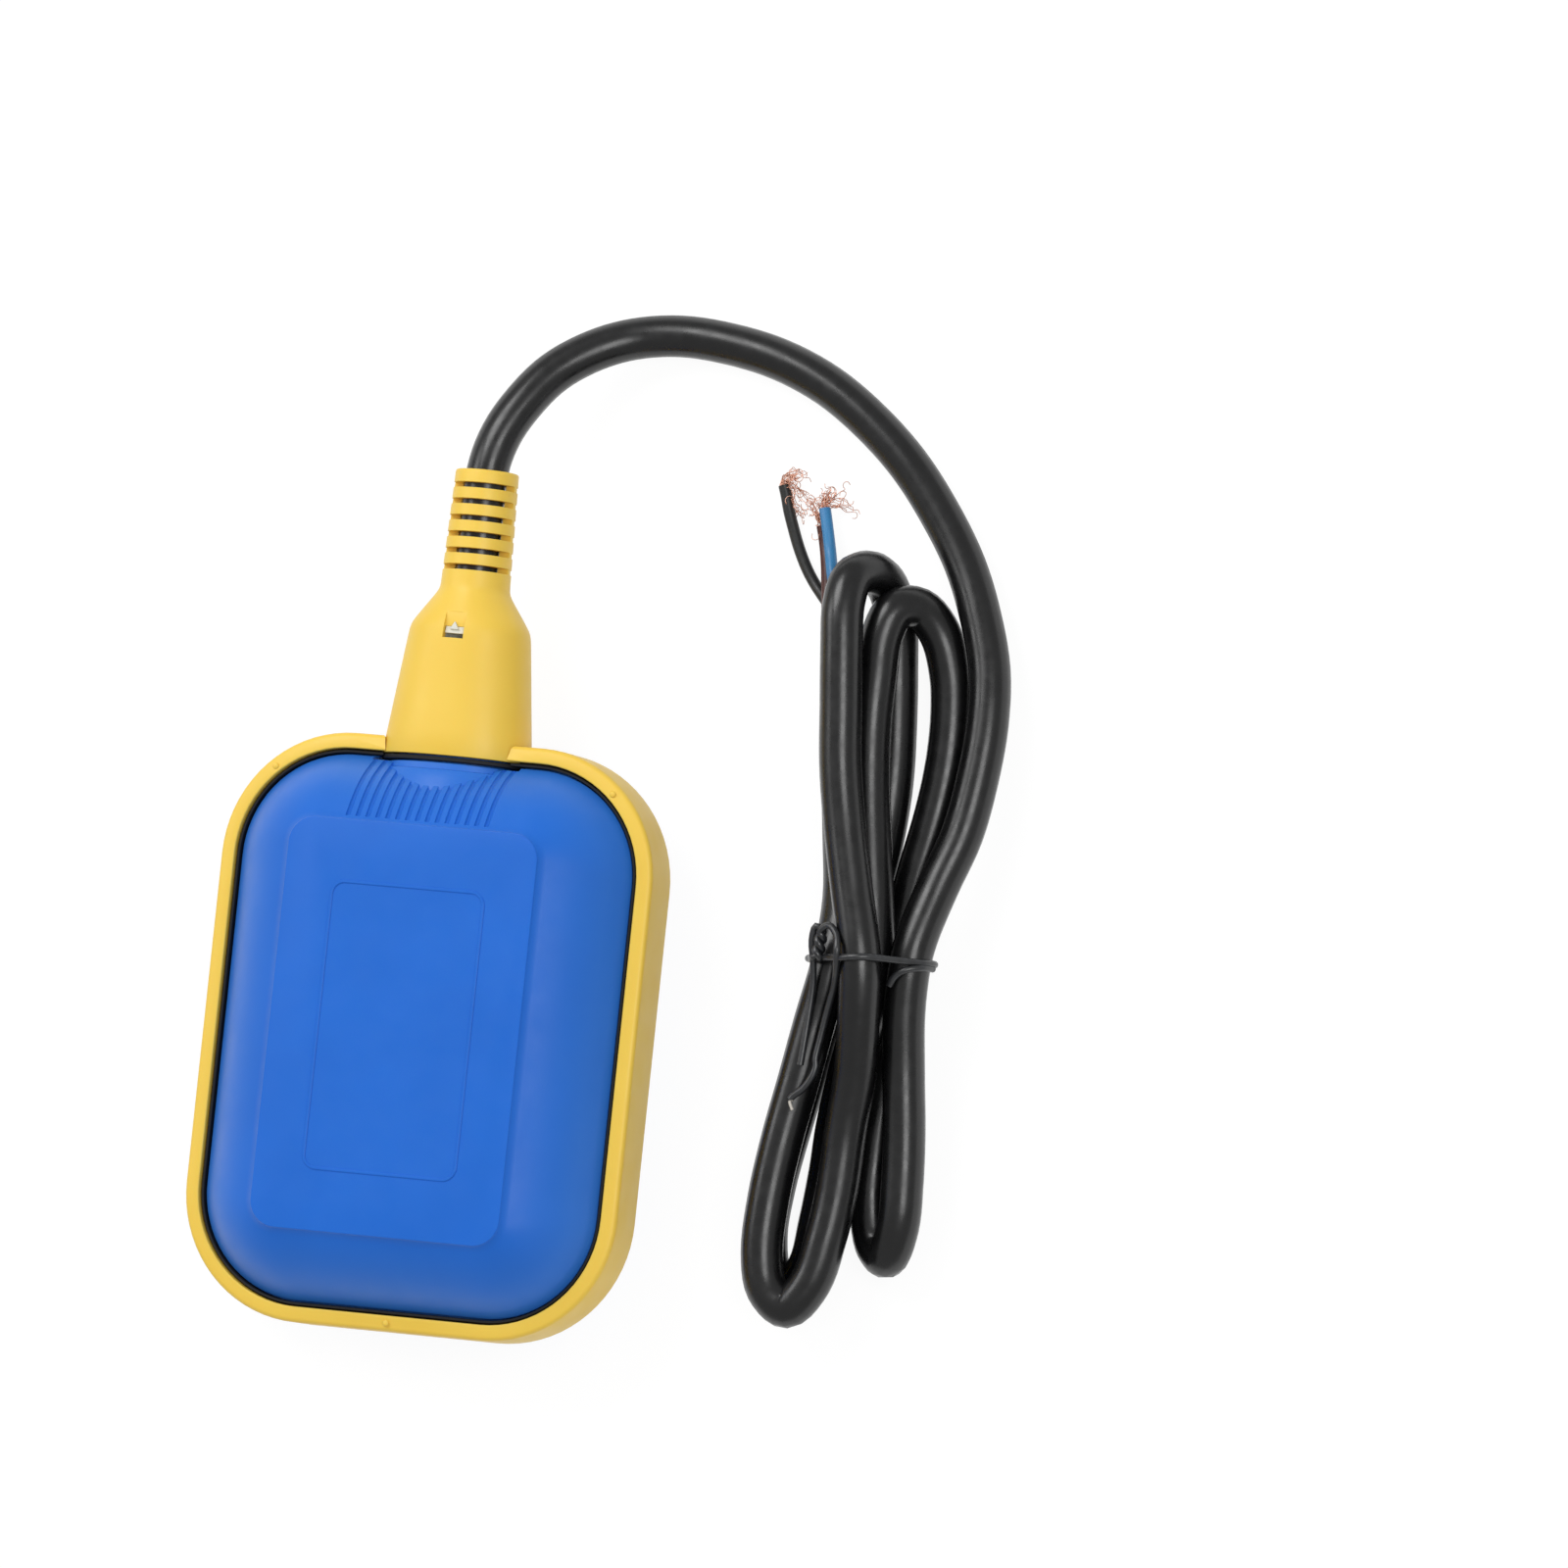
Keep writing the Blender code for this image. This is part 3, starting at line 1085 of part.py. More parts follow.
def make_tie():
    """Wire round the hank's waist, with both ends brought forward along it."""
    rise = TIE_DIAMETER / 2 + 2 * FIT
    bottom = HANK_FLOOR + TIE_DIAMETER / 2
    top = HANK_FLOOR + HANK_HEIGHT + rise
    y = TIE_PLACE
    loop = [(tail_x, tail_y, top) for tail_x, tail_y in TIE_TAIL_IN]
    loop += [
        (TIE_RIGHT - TIE_BEND, y, top), (TIE_RIGHT - TIE_EASE, y, top - TIE_EASE),
        (TIE_RIGHT, y, top - TIE_TURN), (TIE_RIGHT, y, bottom + TIE_TURN),
        (TIE_RIGHT - TIE_EASE, y, bottom + TIE_EASE), (TIE_RIGHT - TIE_BEND, y, bottom),
        ((TIE_LEFT + TIE_RIGHT) / 2, y, bottom),
        (TIE_LEFT + TIE_BEND, y, bottom), (TIE_LEFT + TIE_EASE, y, bottom + TIE_EASE),
        (TIE_LEFT, y, bottom + TIE_TURN), (TIE_LEFT, y, top - TIE_TURN),
        (TIE_LEFT + TIE_EASE, y, top - TIE_EASE), (TIE_LEFT + TIE_BEND, y, top),
    ]
    loop += [(tail_x, tail_y, top) for tail_x, tail_y in TIE_TAIL_OUT]
    return wire("hank_tie", smooth_route(loop, 2), TIE_DIAMETER, TIE_BLACK, 1)


def make_cable():
    """Free cable, hank, tie, the three bare wires and their copper, placed by the sleeve's end."""
    lead = wire("cable_lead", smooth_route(LEAD_ROUTE, 2), CABLE_DIAMETER, CABLE_BLACK)
    pieces = [lead, *make_hank(), make_tie()]
    for colour, route in CORE_ROUTES.items():
        pieces.append(wire(f"core_{colour}", smooth_route(route, 2), CORE_DIAMETER, WIRE_COLOURS[colour]))
        last, before = Vector(route[-1]), Vector(route[-2])
        along = (last - before).normalized()
        along.z = 0.0
        start = last + along * (FIT + STRAND_RADIUS / 2)
        pieces.append(cylinder(f"strands_{colour}", start, start + along * STRAND_LENGTH, STRAND_RADIUS, COPPER,
                               tip_radius=STRAND_SPREAD, steps=10))
    for piece in pieces:
        piece.parent = CABLE_EXIT


def attach(item):
    """Hang a piece on the empty at the float's mid-thickness."""
    item.parent = FLOAT_MIDDLE


def make_float():
    """Shells, band, seal and the neck's pieces."""
    cutters = neck_cutters()
    front = make_shell("front_shell", 1, cutters)
    boolean(front, panel_frame(), "UNION")
    rear = make_shell("rear_shell", -1, cutters)
    clearance = hood_clearance()
    band = swept_band("rim_frame", band_section(), YELLOW)
    seal = swept_band("seal_ring", seal_section(), SEAL_BLACK)
    for ring in (band, seal):
        boolean(ring, clearance)
    hood = make_hood()
    gasket = neck_washer("neck_gasket", GASKET_START, GASKET_THICKNESS, (HOOD_HALF_WIDTH, HOOD_HALF_DEPTH),
                         (COLLAR_HALF_WIDTH + FIT, COLLAR_HALF_DEPTH + FIT), SEAL_BLACK)
    bush = neck_washer("cable_bush", SOCKET_FLOOR + FIT, BUSH_LENGTH,
                       (SOCKET_HALF_WIDTH - FIT, SOCKET_HALF_DEPTH - FIT),
                       (CABLE_BORE_RADIUS, CABLE_BORE_RADIUS), SEAL_BLACK)
    for piece in (front, rear, band, seal, hood, gasket, bush, make_gland()):
        attach(piece)
    attach(make_capsule_half("capsule_body", -1))
    attach(make_capsule_half("capsule_lid", 1))
    make_screws()
    make_mechanism()
    make_inner_leads()


FLOAT_MIDDLE = bpy.data.objects.new("float_middle", None)
PARTS.objects.link(FLOAT_MIDDLE)
make_float()
for cutter in CUTTERS.objects:
    if cutter.parent is None:
        attach(cutter)
FLOAT_MIDDLE.location.z = MIDDLE_Z
CABLE_EXIT = bpy.data.objects.new("cable_exit", None)
PARTS.objects.link(CABLE_EXIT)
make_cable()
CABLE_EXIT.location.y = SLEEVE_END - ROUTE_EXIT
bpy.context.view_layer.update()
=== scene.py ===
"""Looks of the cable float switch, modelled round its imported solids.

Metres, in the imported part's own frame: the float lies on its rear panel at z = 0 with its neck
along +Y, and the tied cable lies on its right.
"""

import logging
import math
import random
from collections.abc import Iterator, Sequence
from contextlib import contextmanager
from dataclasses import dataclass, field
from enum import Enum

import bmesh
import bpy
from mathutils import Matrix, Vector


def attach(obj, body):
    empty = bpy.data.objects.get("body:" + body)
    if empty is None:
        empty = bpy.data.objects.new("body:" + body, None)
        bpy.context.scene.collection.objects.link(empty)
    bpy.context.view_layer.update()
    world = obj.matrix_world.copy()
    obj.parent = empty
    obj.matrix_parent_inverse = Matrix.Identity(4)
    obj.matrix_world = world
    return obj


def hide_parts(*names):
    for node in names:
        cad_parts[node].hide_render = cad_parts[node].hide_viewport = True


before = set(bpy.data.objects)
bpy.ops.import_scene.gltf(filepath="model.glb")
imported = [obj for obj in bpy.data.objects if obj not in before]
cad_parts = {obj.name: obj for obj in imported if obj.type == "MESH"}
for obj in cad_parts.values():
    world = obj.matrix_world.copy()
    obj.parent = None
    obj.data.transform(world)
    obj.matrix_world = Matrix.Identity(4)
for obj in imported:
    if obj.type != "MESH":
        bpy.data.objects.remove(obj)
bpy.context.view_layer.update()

LOG = logging.getLogger("cable_float_switch")
MM = 0.001
# Gap between two mouldings that meet
FIT = 0.3 * MM
# Points nearer than this are merged after a Boolean
SLIVER = 0.004 * MM
# Points and planes nearer than this are taken as one
SAME = 0.001 * MM

Point = tuple[float, float, float]
Item = bpy.types.Object
Material = bpy.types.Material
Node = bpy.types.Node
Socket = bpy.types.NodeSocket
World = bpy.types.World


class Cut(Enum):
    """What a Boolean does with its tool."""

    OFF = "DIFFERENCE"
    ON = "UNION"


class Side(Enum):
    """The float's two halves, with the way that each faces along Z."""

    FRONT = 1
    REAR = -1


def in_metres(points: Sequence[Point]) -> list[Vector]:
    """Points given in millimetres as vectors in metres."""
    return [Vector(point) * MM for point in points]


# Modelling by hand


def take(item: Item) -> None:
    """Make one object the only one selected, and active.

    Args:
        item: The object.
    """
    bpy.ops.object.select_all(action="DESELECT")
    bpy.context.view_layer.objects.active = item
    item.select_set(True)


@contextmanager
def editing(item: Item) -> Iterator[None]:
    """Edit mode on one object, with nothing selected at first.

    Args:
        item: The mesh to edit.
    """
    take(item)
    bpy.ops.object.mode_set(mode="EDIT")
    bpy.ops.mesh.select_all(action="DESELECT")
    yield
    bpy.ops.object.mode_set(mode="OBJECT")


def blank(name: str) -> Item:
    """An empty mesh object at the origin, ready for edit mode.

    Args:
        name: Its name.

    Returns:
        The object.
    """
    item = bpy.data.objects.new(name, bpy.data.meshes.new(name))
    bpy.context.scene.collection.objects.link(item)
    return item


@dataclass(frozen=True)
class SlabRing:
    """Rounded rectangle lying flat: a plane at its size, with its corners bevelled round."""

    half_x: float
    half_y: float
    radius: float
    z: float
    steps: int = 18

    @property
    def level(self) -> float:
        """Height of its plane."""
        return self.z

    def draw(self) -> None:
        """Add the outline to the mesh in edit mode."""
        bpy.ops.mesh.primitive_plane_add(size=1.0, location=(0.0, 0.0, self.z))
        bpy.ops.transform.resize(value=(2 * self.half_x, 2 * self.half_y, 1.0))
        bpy.ops.mesh.bevel(offset=self.radius, segments=self.steps, affect="VERTICES", clamp_overlap=False)
        bpy.ops.mesh.delete(type="ONLY_FACE")


@dataclass(frozen=True)
class NeckRing:
    """Oval across the neck: a circle at its size, pulled out towards its corners by its roundness."""

    y: float
    half_x: float
    half_z: float
    roundness: float = 2.0
    steps: int = 96
    z: float = 18.5 * MM

    @property
    def level(self) -> float:
        """Place of its plane along the neck."""
        return self.y

    def draw(self) -> None:
        """Add the outline to the mesh in edit mode."""
        bpy.ops.mesh.primitive_circle_add(vertices=self.steps, radius=1.0, location=(0.0, self.y, self.z),
                                          rotation=(math.pi / 2, 0.0, 0.0))
        bpy.ops.transform.resize(value=(self.half_x, 1.0, self.half_z))
        if self.roundness == 2.0:
            return
        mesh = bpy.context.edit_object.data
        for point in bmesh.from_edit_mesh(mesh).verts:
            if point.select:
                across = point.co.x / self.half_x
                up = (point.co.z - self.z) / self.half_z
                point.co.x = self.half_x * math.copysign(abs(across) ** (2 / self.roundness), across)
                point.co.z = self.z + self.half_z * math.copysign(abs(up) ** (2 / self.roundness), up)
        bmesh.update_edit_mesh(mesh)


@dataclass(frozen=True)
class RoundRing:
    """Circle anywhere, its axis tilted from +Z about X."""

    centre: Vector
    radius: float
    tilt: float = 0.0
    steps: int = 12

    @property
    def level(self) -> float:
        """Height of its centre."""
        return self.centre.z

    def draw(self) -> None:
        """Add the outline to the mesh in edit mode."""
        bpy.ops.mesh.primitive_circle_add(vertices=self.steps, radius=self.radius, location=self.centre,
                                          rotation=(self.tilt, 0.0, 0.0))


Ring = SlabRing | NeckRing | RoundRing


def pick_rings(item: Item, wanted: set[int]) -> None:
    """Select the outlines with these numbers, in edit mode.

    Args:
        item: The mesh that holds them.
        wanted: Their numbers in its ring layer.
    """
    mesh = item.data
    bm = bmesh.from_edit_mesh(mesh)
    layer = bm.verts.layers.int["ring"]
    for point in bm.verts:
        point.select_set(False)
    bm.select_flush(False)
    for edge in bm.edges:
        if all(point[layer] in wanted for point in edge.verts):
            edge.select_set(True)
    bmesh.update_edit_mesh(mesh)


def bridge(name: str, rings: Sequence[Ring], closed: bool = False) -> Item:
    """Solid or skin through a row of outlines, each bridged to the next.

    Args:
        name: The new object's name.
        rings: Outlines of as many points each.
        closed: Whether the last outline is bridged to the first, or else both are filled.

    Returns:
        The mesh object, with its faces outwards.
    """
    item = blank(name)
    with editing(item):
        bmesh.from_edit_mesh(item.data).verts.layers.int.new("ring")
        for number, ring in enumerate(rings, 1):
            bpy.ops.mesh.select_all(action="DESELECT")
            ring.draw()
            bm = bmesh.from_edit_mesh(item.data)
            layer = bm.verts.layers.int["ring"]
            for point in bm.verts:
                if point[layer] == 0:
                    point[layer] = number
            bmesh.update_edit_mesh(item.data)
        last = len(rings)
        pairs = [(number, number % last + 1) for number in range(1, last + closed)]
        # Outlines in one plane go first, because beside finished faces the operator mispairs them
        pairs.sort(key=lambda pair: abs(rings[pair[0] - 1].level - rings[pair[1] - 1].level) > SAME)
        for pair in pairs:
            pick_rings(item, set(pair))
            bpy.ops.mesh.bridge_edge_loops()
        if not closed:
            for number in (1, last):
                pick_rings(item, {number})
                bpy.ops.mesh.edge_face_add()
        bpy.ops.mesh.select_all(action="SELECT")
        bpy.ops.mesh.normals_make_consistent(inside=False)
    item.data.attributes.remove(item.data.attributes["ring"])
    return item


def block(name: str, low: Point | Vector, high: Point | Vector, rounding: float = 0.0) -> Item:
    """Box between two corners, with its edges rounded if asked.

    Args:
        name: The new object's name.
        low: Its lowest corner.
        high: Its highest corner.
        rounding: Radius of its edges.

    Returns:
        The mesh object.
    """
    low, high = Vector(low), Vector(high)
    bpy.ops.object.select_all(action="DESELECT")
    bpy.ops.mesh.primitive_cube_add(size=1.0)
    item = bpy.context.object
    item.name = name
    with editing(item):
        bpy.ops.mesh.select_all(action="SELECT")
        bpy.ops.transform.resize(value=high - low)
        bpy.ops.transform.translate(value=(low + high) / 2)
        if rounding:
            bpy.ops.mesh.bevel(offset=rounding, segments=3)
    return item


def bar(name: str, start: Vector, end: Vector, radius: float, steps: int = 32) -> Item:
    """Straight round bar between two points.

    Args:
        name: The new object's name.
        start: Middle of one end.
        end: Middle of the other.
        radius: Its radius.
        steps: How many sides stand for the round.

    Returns:
        The mesh object.
    """
    bpy.ops.object.select_all(action="DESELECT")
    bpy.ops.mesh.primitive_cylinder_add(vertices=steps, radius=radius, depth=(end - start).length,
                                        location=(start + end) / 2,
                                        rotation=(end - start).to_track_quat("Z", "Y").to_euler())
    item = bpy.context.object
    item.name = name
    bpy.ops.object.transform_apply(location=True, rotation=True, scale=True)
    return item


def joined(items: Sequence[Item]) -> Item:
    """Several meshes as one object, under the first one's name.

    Args:
        items: The meshes.

    Returns:
        The one object.
    """
    take(items[0])
    for item in items:
        item.select_set(True)
    bpy.ops.object.join()
    return items[0]


def repeated(item: Item, places: Sequence[Point]) -> Item:
    """Put a copy of one piece at each place and join them, in place of the piece.

    Args:
        item: The piece, modelled about the origin.
        places: How far each copy is moved, in metres.

    Returns:
        The joined copies.
    """
    row = []
    for index, place in enumerate(places):
        twin = copy_of(item, f"{item.name}_{index + 1}")
        twin.location = place
        row.append(twin)
    bpy.data.objects.remove(item, do_unlink=True)
    whole = joined(row)
    bpy.ops.object.transform_apply(location=True, rotation=True, scale=True)
    return whole


def shape(target: Item, tool: Item, cut: Cut) -> None:
    """Cut or join with an exact Boolean, apply it and remove the tool.

    Slivers that it leaves are merged, because a later Boolean can lose the whole piece on them.

    Args:
        target: The piece that is worked on.
        tool: What it is cut with, or what is joined to it.
        cut: Which of the two.
    """
    take(target)
    modifier = target.modifiers.new(tool.name, "BOOLEAN")
    modifier.solver = "EXACT"
    modifier.operation = cut.value
    modifier.object = tool
    bpy.ops.object.modifier_apply(modifier=modifier.name)
    bpy.data.objects.remove(tool, do_unlink=True)
    with editing(target):
        bpy.ops.mesh.select_all(action="SELECT")
        bpy.ops.mesh.remove_doubles(threshold=SLIVER)
        bpy.ops.mesh.dissolve_degenerate(threshold=SLIVER)


def copy_of(item: Item, name: str) -> Item:
    """A copy of a piece with a mesh of its own.

    Args:
        item: The piece.
        name: The copy's name.

    Returns:
        The copy.
    """
    twin = item.copy()
    twin.data = item.data.copy()
    twin.name = name
    bpy.context.scene.collection.objects.link(twin)
    return twin


def soften(item: Item, width: float, angle: float = 40.0) -> None:
    """Round a piece's sharp edges by a live bevel that is then applied.

    Args:
        item: The piece.
        width: Width of the bevel.
        angle: Smallest angle that counts as sharp.
    """
    take(item)
    edges = item.modifiers.new("edges", "BEVEL")
    edges.width = width
    edges.segments = 2
    edges.limit_method = "ANGLE"
    edges.angle_limit = math.radians(angle)
    bpy.ops.object.modifier_apply(modifier=edges.name)


def through(points: Sequence[Vector], parts: int) -> list[Vector]:
    """Centripetal curve through given points.

    Args:
        points: The points, ends included.
        parts: Steps between each two of them.

    Returns:
        The points of the smooth line.
    """
    ends = [2 * points[0] - points[1], *points, 2 * points[-1] - points[-2]]
    route = []
    for four in zip(ends, ends[1:], ends[2:], ends[3:]):
        knots = [0.0]
        for here, after in zip(four, four[1:]):
            knots.append(knots[-1] + max((after - here).length, 1e-9) ** 0.5)
        for part in range(parts):
            t = knots[1] + (knots[2] - knots[1]) * part / parts
            level = list(four)
            for span in (1, 2):
                level = [level[i].lerp(level[i + 1], (t - knots[i]) / (knots[i + span] - knots[i]))
                         for i in range(len(level) - 1)]
            route.append(level[0].lerp(level[1], (t - knots[1]) / (knots[2] - knots[1])))
    return [*route, points[-1]]


def tube(name: str, lines: Sequence[Sequence[Vector]], diameter: float, resolution: int = 6) -> Item:
    """Round wire or cable along one line or several.

    Args:
        name: The new object's name.
        lines: The centrelines.
        diameter: Its thickness.
        resolution: Blender's bevel resolution, for 4 + 2n sides.

    Returns:
        A curve object with filled ends.
    """
    curve = bpy.data.curves.new(name, "CURVE")
    curve.dimensions = "3D"
    curve.bevel_depth = diameter / 2
    curve.bevel_resolution = resolution
    curve.use_fill_caps = True
    for line in lines:
        spline = curve.splines.new("POLY")
        spline.points.add(len(line) - 1)
        for knot, point in zip(spline.points, line):
            knot.co = (*point, 1.0)
        spline.use_smooth = True
    item = bpy.data.objects.new(name, curve)
    bpy.context.scene.collection.objects.link(item)
    return item


def as_mesh(item: Item) -> Item:
    """Turn a curve into a mesh with its caps welded.

    Args:
        item: The curve object.

    Returns:
        The mesh object.
    """
    take(item)
    bpy.ops.object.convert(target="MESH")
    item = bpy.context.object
    with editing(item):
        bpy.ops.mesh.select_all(action="SELECT")
        bpy.ops.mesh.remove_doubles(threshold=SAME)
        bpy.ops.mesh.normals_make_consistent(inside=False)
    return item


# Materials


def tint(code: str) -> tuple[float, float, float, float]:
    """An sRGB hex colour as linear RGBA.

    Args:
        code: Six hex digits.

    Returns:
        Red, green, blue and alpha.
    """
    channels = []
    for start in (0, 2, 4):
        value = int(code[start:start + 2], 16) / 255
        channels.append(value / 12.92 if value <= 0.04045 else ((value + 0.055) / 1.055) ** 2.4)
    return (*channels, 1.0)


def add_node(owner: Material | World, kind: str, inputs: dict | None = None, **settings: object) -> Node:
    """Add one node with its settings, values and links.

    Args:
        owner: The material or world that gets it.
        kind: Blender's name of the node type.
        inputs: Value or output socket for each input, by name or number.
        settings: The node's own properties.

    Returns:
        The new node.
    """
    node = owner.node_tree.nodes.new(kind)
    for name, value in settings.items():
        setattr(node, name, value)
    for name, value in (inputs or {}).items():
        if isinstance(value, Socket):
            owner.node_tree.links.new(value, node.inputs[name])
        else:
            node.inputs[name].default_value = value
    return node


# Where a noise pattern's values mostly lie, which is stretched over a finish's own range
NOISE_SPAN = {"From Min": 0.3, "From Max": 0.7}


@dataclass(frozen=True)
class Finish:
    """What every finish has: a Principled shader whose colour, roughness and bump come from nodes.

    Sizes are in millimetres. A pattern's scale is one over its real size in metres, on Object
    coordinates.
    """

    name: str
    colour: str
    second: str
    roughness: float
    patch_mm: float = 9.0
    patch_share: float = 0.5
    grain_mm: float = 0.35
    grain_height_mm: float = 0.006
    roughness_swing: float = 0.05
    metallic: float = 0.0
    ior: float = 1.5
    gloss: float = 0.5
    glow: float = 0.0
    glow_mm: tuple[float, float, float] = (1.0, 1.0, 1.0)

    def material(self) -> Material:
        """Build the finish once and give the same material again after that.

        Returns:
            The material.
        """
        found = bpy.data.materials.get(self.name)
        if found:
            return found
        made = bpy.data.materials.new(self.name)
        made.use_nodes = True
        made.diffuse_color = tint(self.colour)
        shader = made.node_tree.nodes["Principled BSDF"]
        place = add_node(made, "ShaderNodeTexCoord").outputs["Object"]
        self.set_constants(shader)
        links = made.node_tree.links
        links.new(self.paint(made, place), shader.inputs["Base Color"])
        links.new(self.polish(made, place), shader.inputs["Roughness"])
        links.new(self.relief(made, place), shader.inputs["Normal"])
        return made

    def set_constants(self, shader: Node) -> None:
        """Set what is the same all over the surface on the shader's own sockets.

        Args:
            shader: The Principled shader.
        """
        shader.inputs["Metallic"].default_value = self.metallic
        shader.inputs["IOR"].default_value = self.ior
        shader.inputs["Specular IOR Level"].default_value = self.gloss
        shader.inputs["Subsurface Weight"].default_value = self.glow
        shader.inputs["Subsurface Radius"].default_value = [size * MM for size in self.glow_mm]
        shader.inputs["Subsurface Scale"].default_value = 1.0

    def paint(self, made: Material, place: Socket) -> Socket:
        """Colour: slow patches of a second tone, as flow in the mould or handling leaves.

        Args:
            made: The material.
            place: Object coordinates.

        Returns:
            The colour.
        """
        spots = add_node(made, "ShaderNodeTexNoise", {
            "Vector": place, "Scale": 1 / (self.patch_mm * MM), "Detail": 2.0})
        share = add_node(made, "ShaderNodeMapRange", {
            "Value": spots.outputs["Fac"], **NOISE_SPAN, "To Min": 0.0, "To Max": self.patch_share})
        return add_node(made, "ShaderNodeMix", {
            0: share.outputs["Result"], 6: tint(self.colour), 7: tint(self.second)},
            data_type="RGBA").outputs[2]

    def polish(self, made: Material, place: Socket) -> Socket:
        """Roughness, a little uneven, in spots a third as large as the patches.

        Args:
            made: The material.
            place: Object coordinates.

        Returns:
            The roughness.
        """
        spots = add_node(made, "ShaderNodeTexNoise", {
            "Vector": place, "Scale": 1 / (self.patch_mm / 3 * MM), "Detail": 3.0})
        return add_node(made, "ShaderNodeMapRange", {
            "Value": spots.outputs["Fac"], **NOISE_SPAN, "To Min": self.roughness - self.roughness_swing,
            "To Max": self.roughness + self.roughness_swing}).outputs["Result"]

    def relief(self, made: Material, place: Socket) -> Socket:
        """Fine grain of the surface as bump.

        Args:
            made: The material.
            place: Object coordinates.

        Returns:
            The normal.
        """
        grain = add_node(made, "ShaderNodeTexNoise", {
            "Vector": place, "Scale": 1 / (self.grain_mm * MM), "Detail": 2.0})
        return add_node(made, "ShaderNodeBump", {
            "Strength": 1.0, "Distance": self.grain_height_mm * MM, "Height": grain.outputs["Fac"]}
            ).outputs["Normal"]


@dataclass(frozen=True)
class ShellFinish(Finish):
    """Blue polypropylene of the shells, with a painted sheen.

    The slopes are painted a lighter, milkier blue that stands in for the reflection of the lights on them,
    and the panel keeps the plain, deeper blue.
    """

    # Painted sheen: the lighter blue painted on the slopes in place of their reflection of the lights; its
    # colour, its strongest share and the heights over which it fades out
    painted_sheen: str = "4383dc"
    painted_sheen_share: float = 0.45
    painted_sheen_heights: tuple[float, float] = (9.5 * MM, 18.1 * MM)
    sheen_cloud_mm: float = 24.0
    sheen_cloud_span: tuple[float, float] = (0.75, 1.1)
    middle_z: float = 18.5 * MM

    def paint(self, made: Material, place: Socket) -> Socket:
        """Colour: the plain blue, with a painted sheen that grows down the slopes from the panel's edge.

        Args:
            made: The material.
            place: Object coordinates.

        Returns:
            The colour.
        """
        base = super().paint(made, place)
        z = add_node(made, "ShaderNodeSeparateXYZ", {"Vector": place}).outputs["Z"]
        centred = add_node(made, "ShaderNodeMath", {0: z, 1: self.middle_z}, operation="SUBTRACT").outputs[0]
        height = add_node(made, "ShaderNodeMath", {0: centred}, operation="ABSOLUTE").outputs[0]
        low, high = self.painted_sheen_heights
        depth = add_node(made, "ShaderNodeMapRange", {
            "Value": height, "From Min": low, "From Max": high, "To Min": self.painted_sheen_share, "To Max": 0.0})
        spots = add_node(made, "ShaderNodeTexNoise", {
            "Vector": place, "Scale": 1 / (self.sheen_cloud_mm * MM), "Detail": 2.0})
        sheen_low, sheen_high = self.sheen_cloud_span
        sheen_cloud = add_node(made, "ShaderNodeMapRange", {
            "Value": spots.outputs["Fac"], **NOISE_SPAN, "To Min": sheen_low, "To Max": sheen_high})
        share = add_node(made, "ShaderNodeMath", {
            0: depth.outputs["Result"], 1: sheen_cloud.outputs["Result"]}, operation="MULTIPLY").outputs[0]
        # Painted sheen: lighter blue mixed in on the slopes, fading to none at the panel
        return add_node(made, "ShaderNodeMix", {
            0: share, 6: base, 7: tint(self.painted_sheen)}, data_type="RGBA").outputs[2]


@dataclass(frozen=True)
class SheathFinish(Finish):
    """Soft PVC of the cable: extruded smooth, with the cores under it felt as a slow unevenness."""

    wave_mm: float = 11.0
    wave_height_mm: float = 0.10

    def relief(self, made: Material, place: Socket) -> Socket:
        """Slow waves under the fine grain.

        Args:
            made: The material.
            place: Object coordinates.

        Returns:
            The normal.
        """
        fine = super().relief(made, place)
        wave = add_node(made, "ShaderNodeTexNoise", {
            "Vector": place, "Scale": 1 / (self.wave_mm * MM), "Detail": 1.0})
        return add_node(made, "ShaderNodeBump", {
            "Strength": 1.0, "Distance": self.wave_height_mm * MM, "Height": wave.outputs["Fac"],
            "Normal": fine}).outputs["Normal"]


@dataclass(frozen=True)
class TieFinish(Finish):
    """Jacket of the wire tie, with its wire cut bare at one end."""

    bare_end: Point = (71.1, -7.0, 16.6)
    bare_mm: float = 1.7
    edge_mm: float = 0.2
    bare_colour: str = "c4beb4"

    def paint(self, made: Material, place: Socket) -> Socket:
        """Colour: the jacket's, and the bright wire round the cut end.

        Args:
            made: The material.
            place: Object coordinates.

        Returns:
            The colour.
        """
        away = add_node(made, "ShaderNodeVectorMath", {0: place, 1: Vector(self.bare_end) * MM},
                        operation="DISTANCE").outputs["Value"]
        bare = add_node(made, "ShaderNodeMapRange", {
            "Value": away, "From Min": self.bare_mm * MM, "From Max": (self.bare_mm + self.edge_mm) * MM,
            "To Min": 1.0, "To Max": 0.0}).outputs["Result"]
        jacket = super().paint(made, place)
        return add_node(made, "ShaderNodeMix", {
            0: bare, 6: jacket, 7: tint(self.bare_colour)}, data_type="RGBA").outputs[2]


@dataclass(frozen=True)
class DrawnMetal(Finish):
    """Metal with fine lines along one way from drawing, turning or rolling."""

    line_mm: float = 0.12
    stretch: Point = (1.0, 1.0, 12.0)

    def relief(self, made: Material, place: Socket) -> Socket:
        """Long thin scratches as bump.

        Args:
            made: The material.
            place: Object coordinates.

        Returns:
            The normal.
        """
        along = add_node(made, "ShaderNodeMapping", {"Vector": place, "Scale": [1 / s for s in self.stretch]})
        lines = add_node(made, "ShaderNodeTexNoise", {
            "Vector": along.outputs["Vector"], "Scale": 1 / (self.line_mm * MM), "Detail": 2.0})
        return add_node(made, "ShaderNodeBump", {
            "Strength": 1.0, "Distance": self.grain_height_mm * MM, "Height": lines.outputs["Fac"]}
            ).outputs["Normal"]


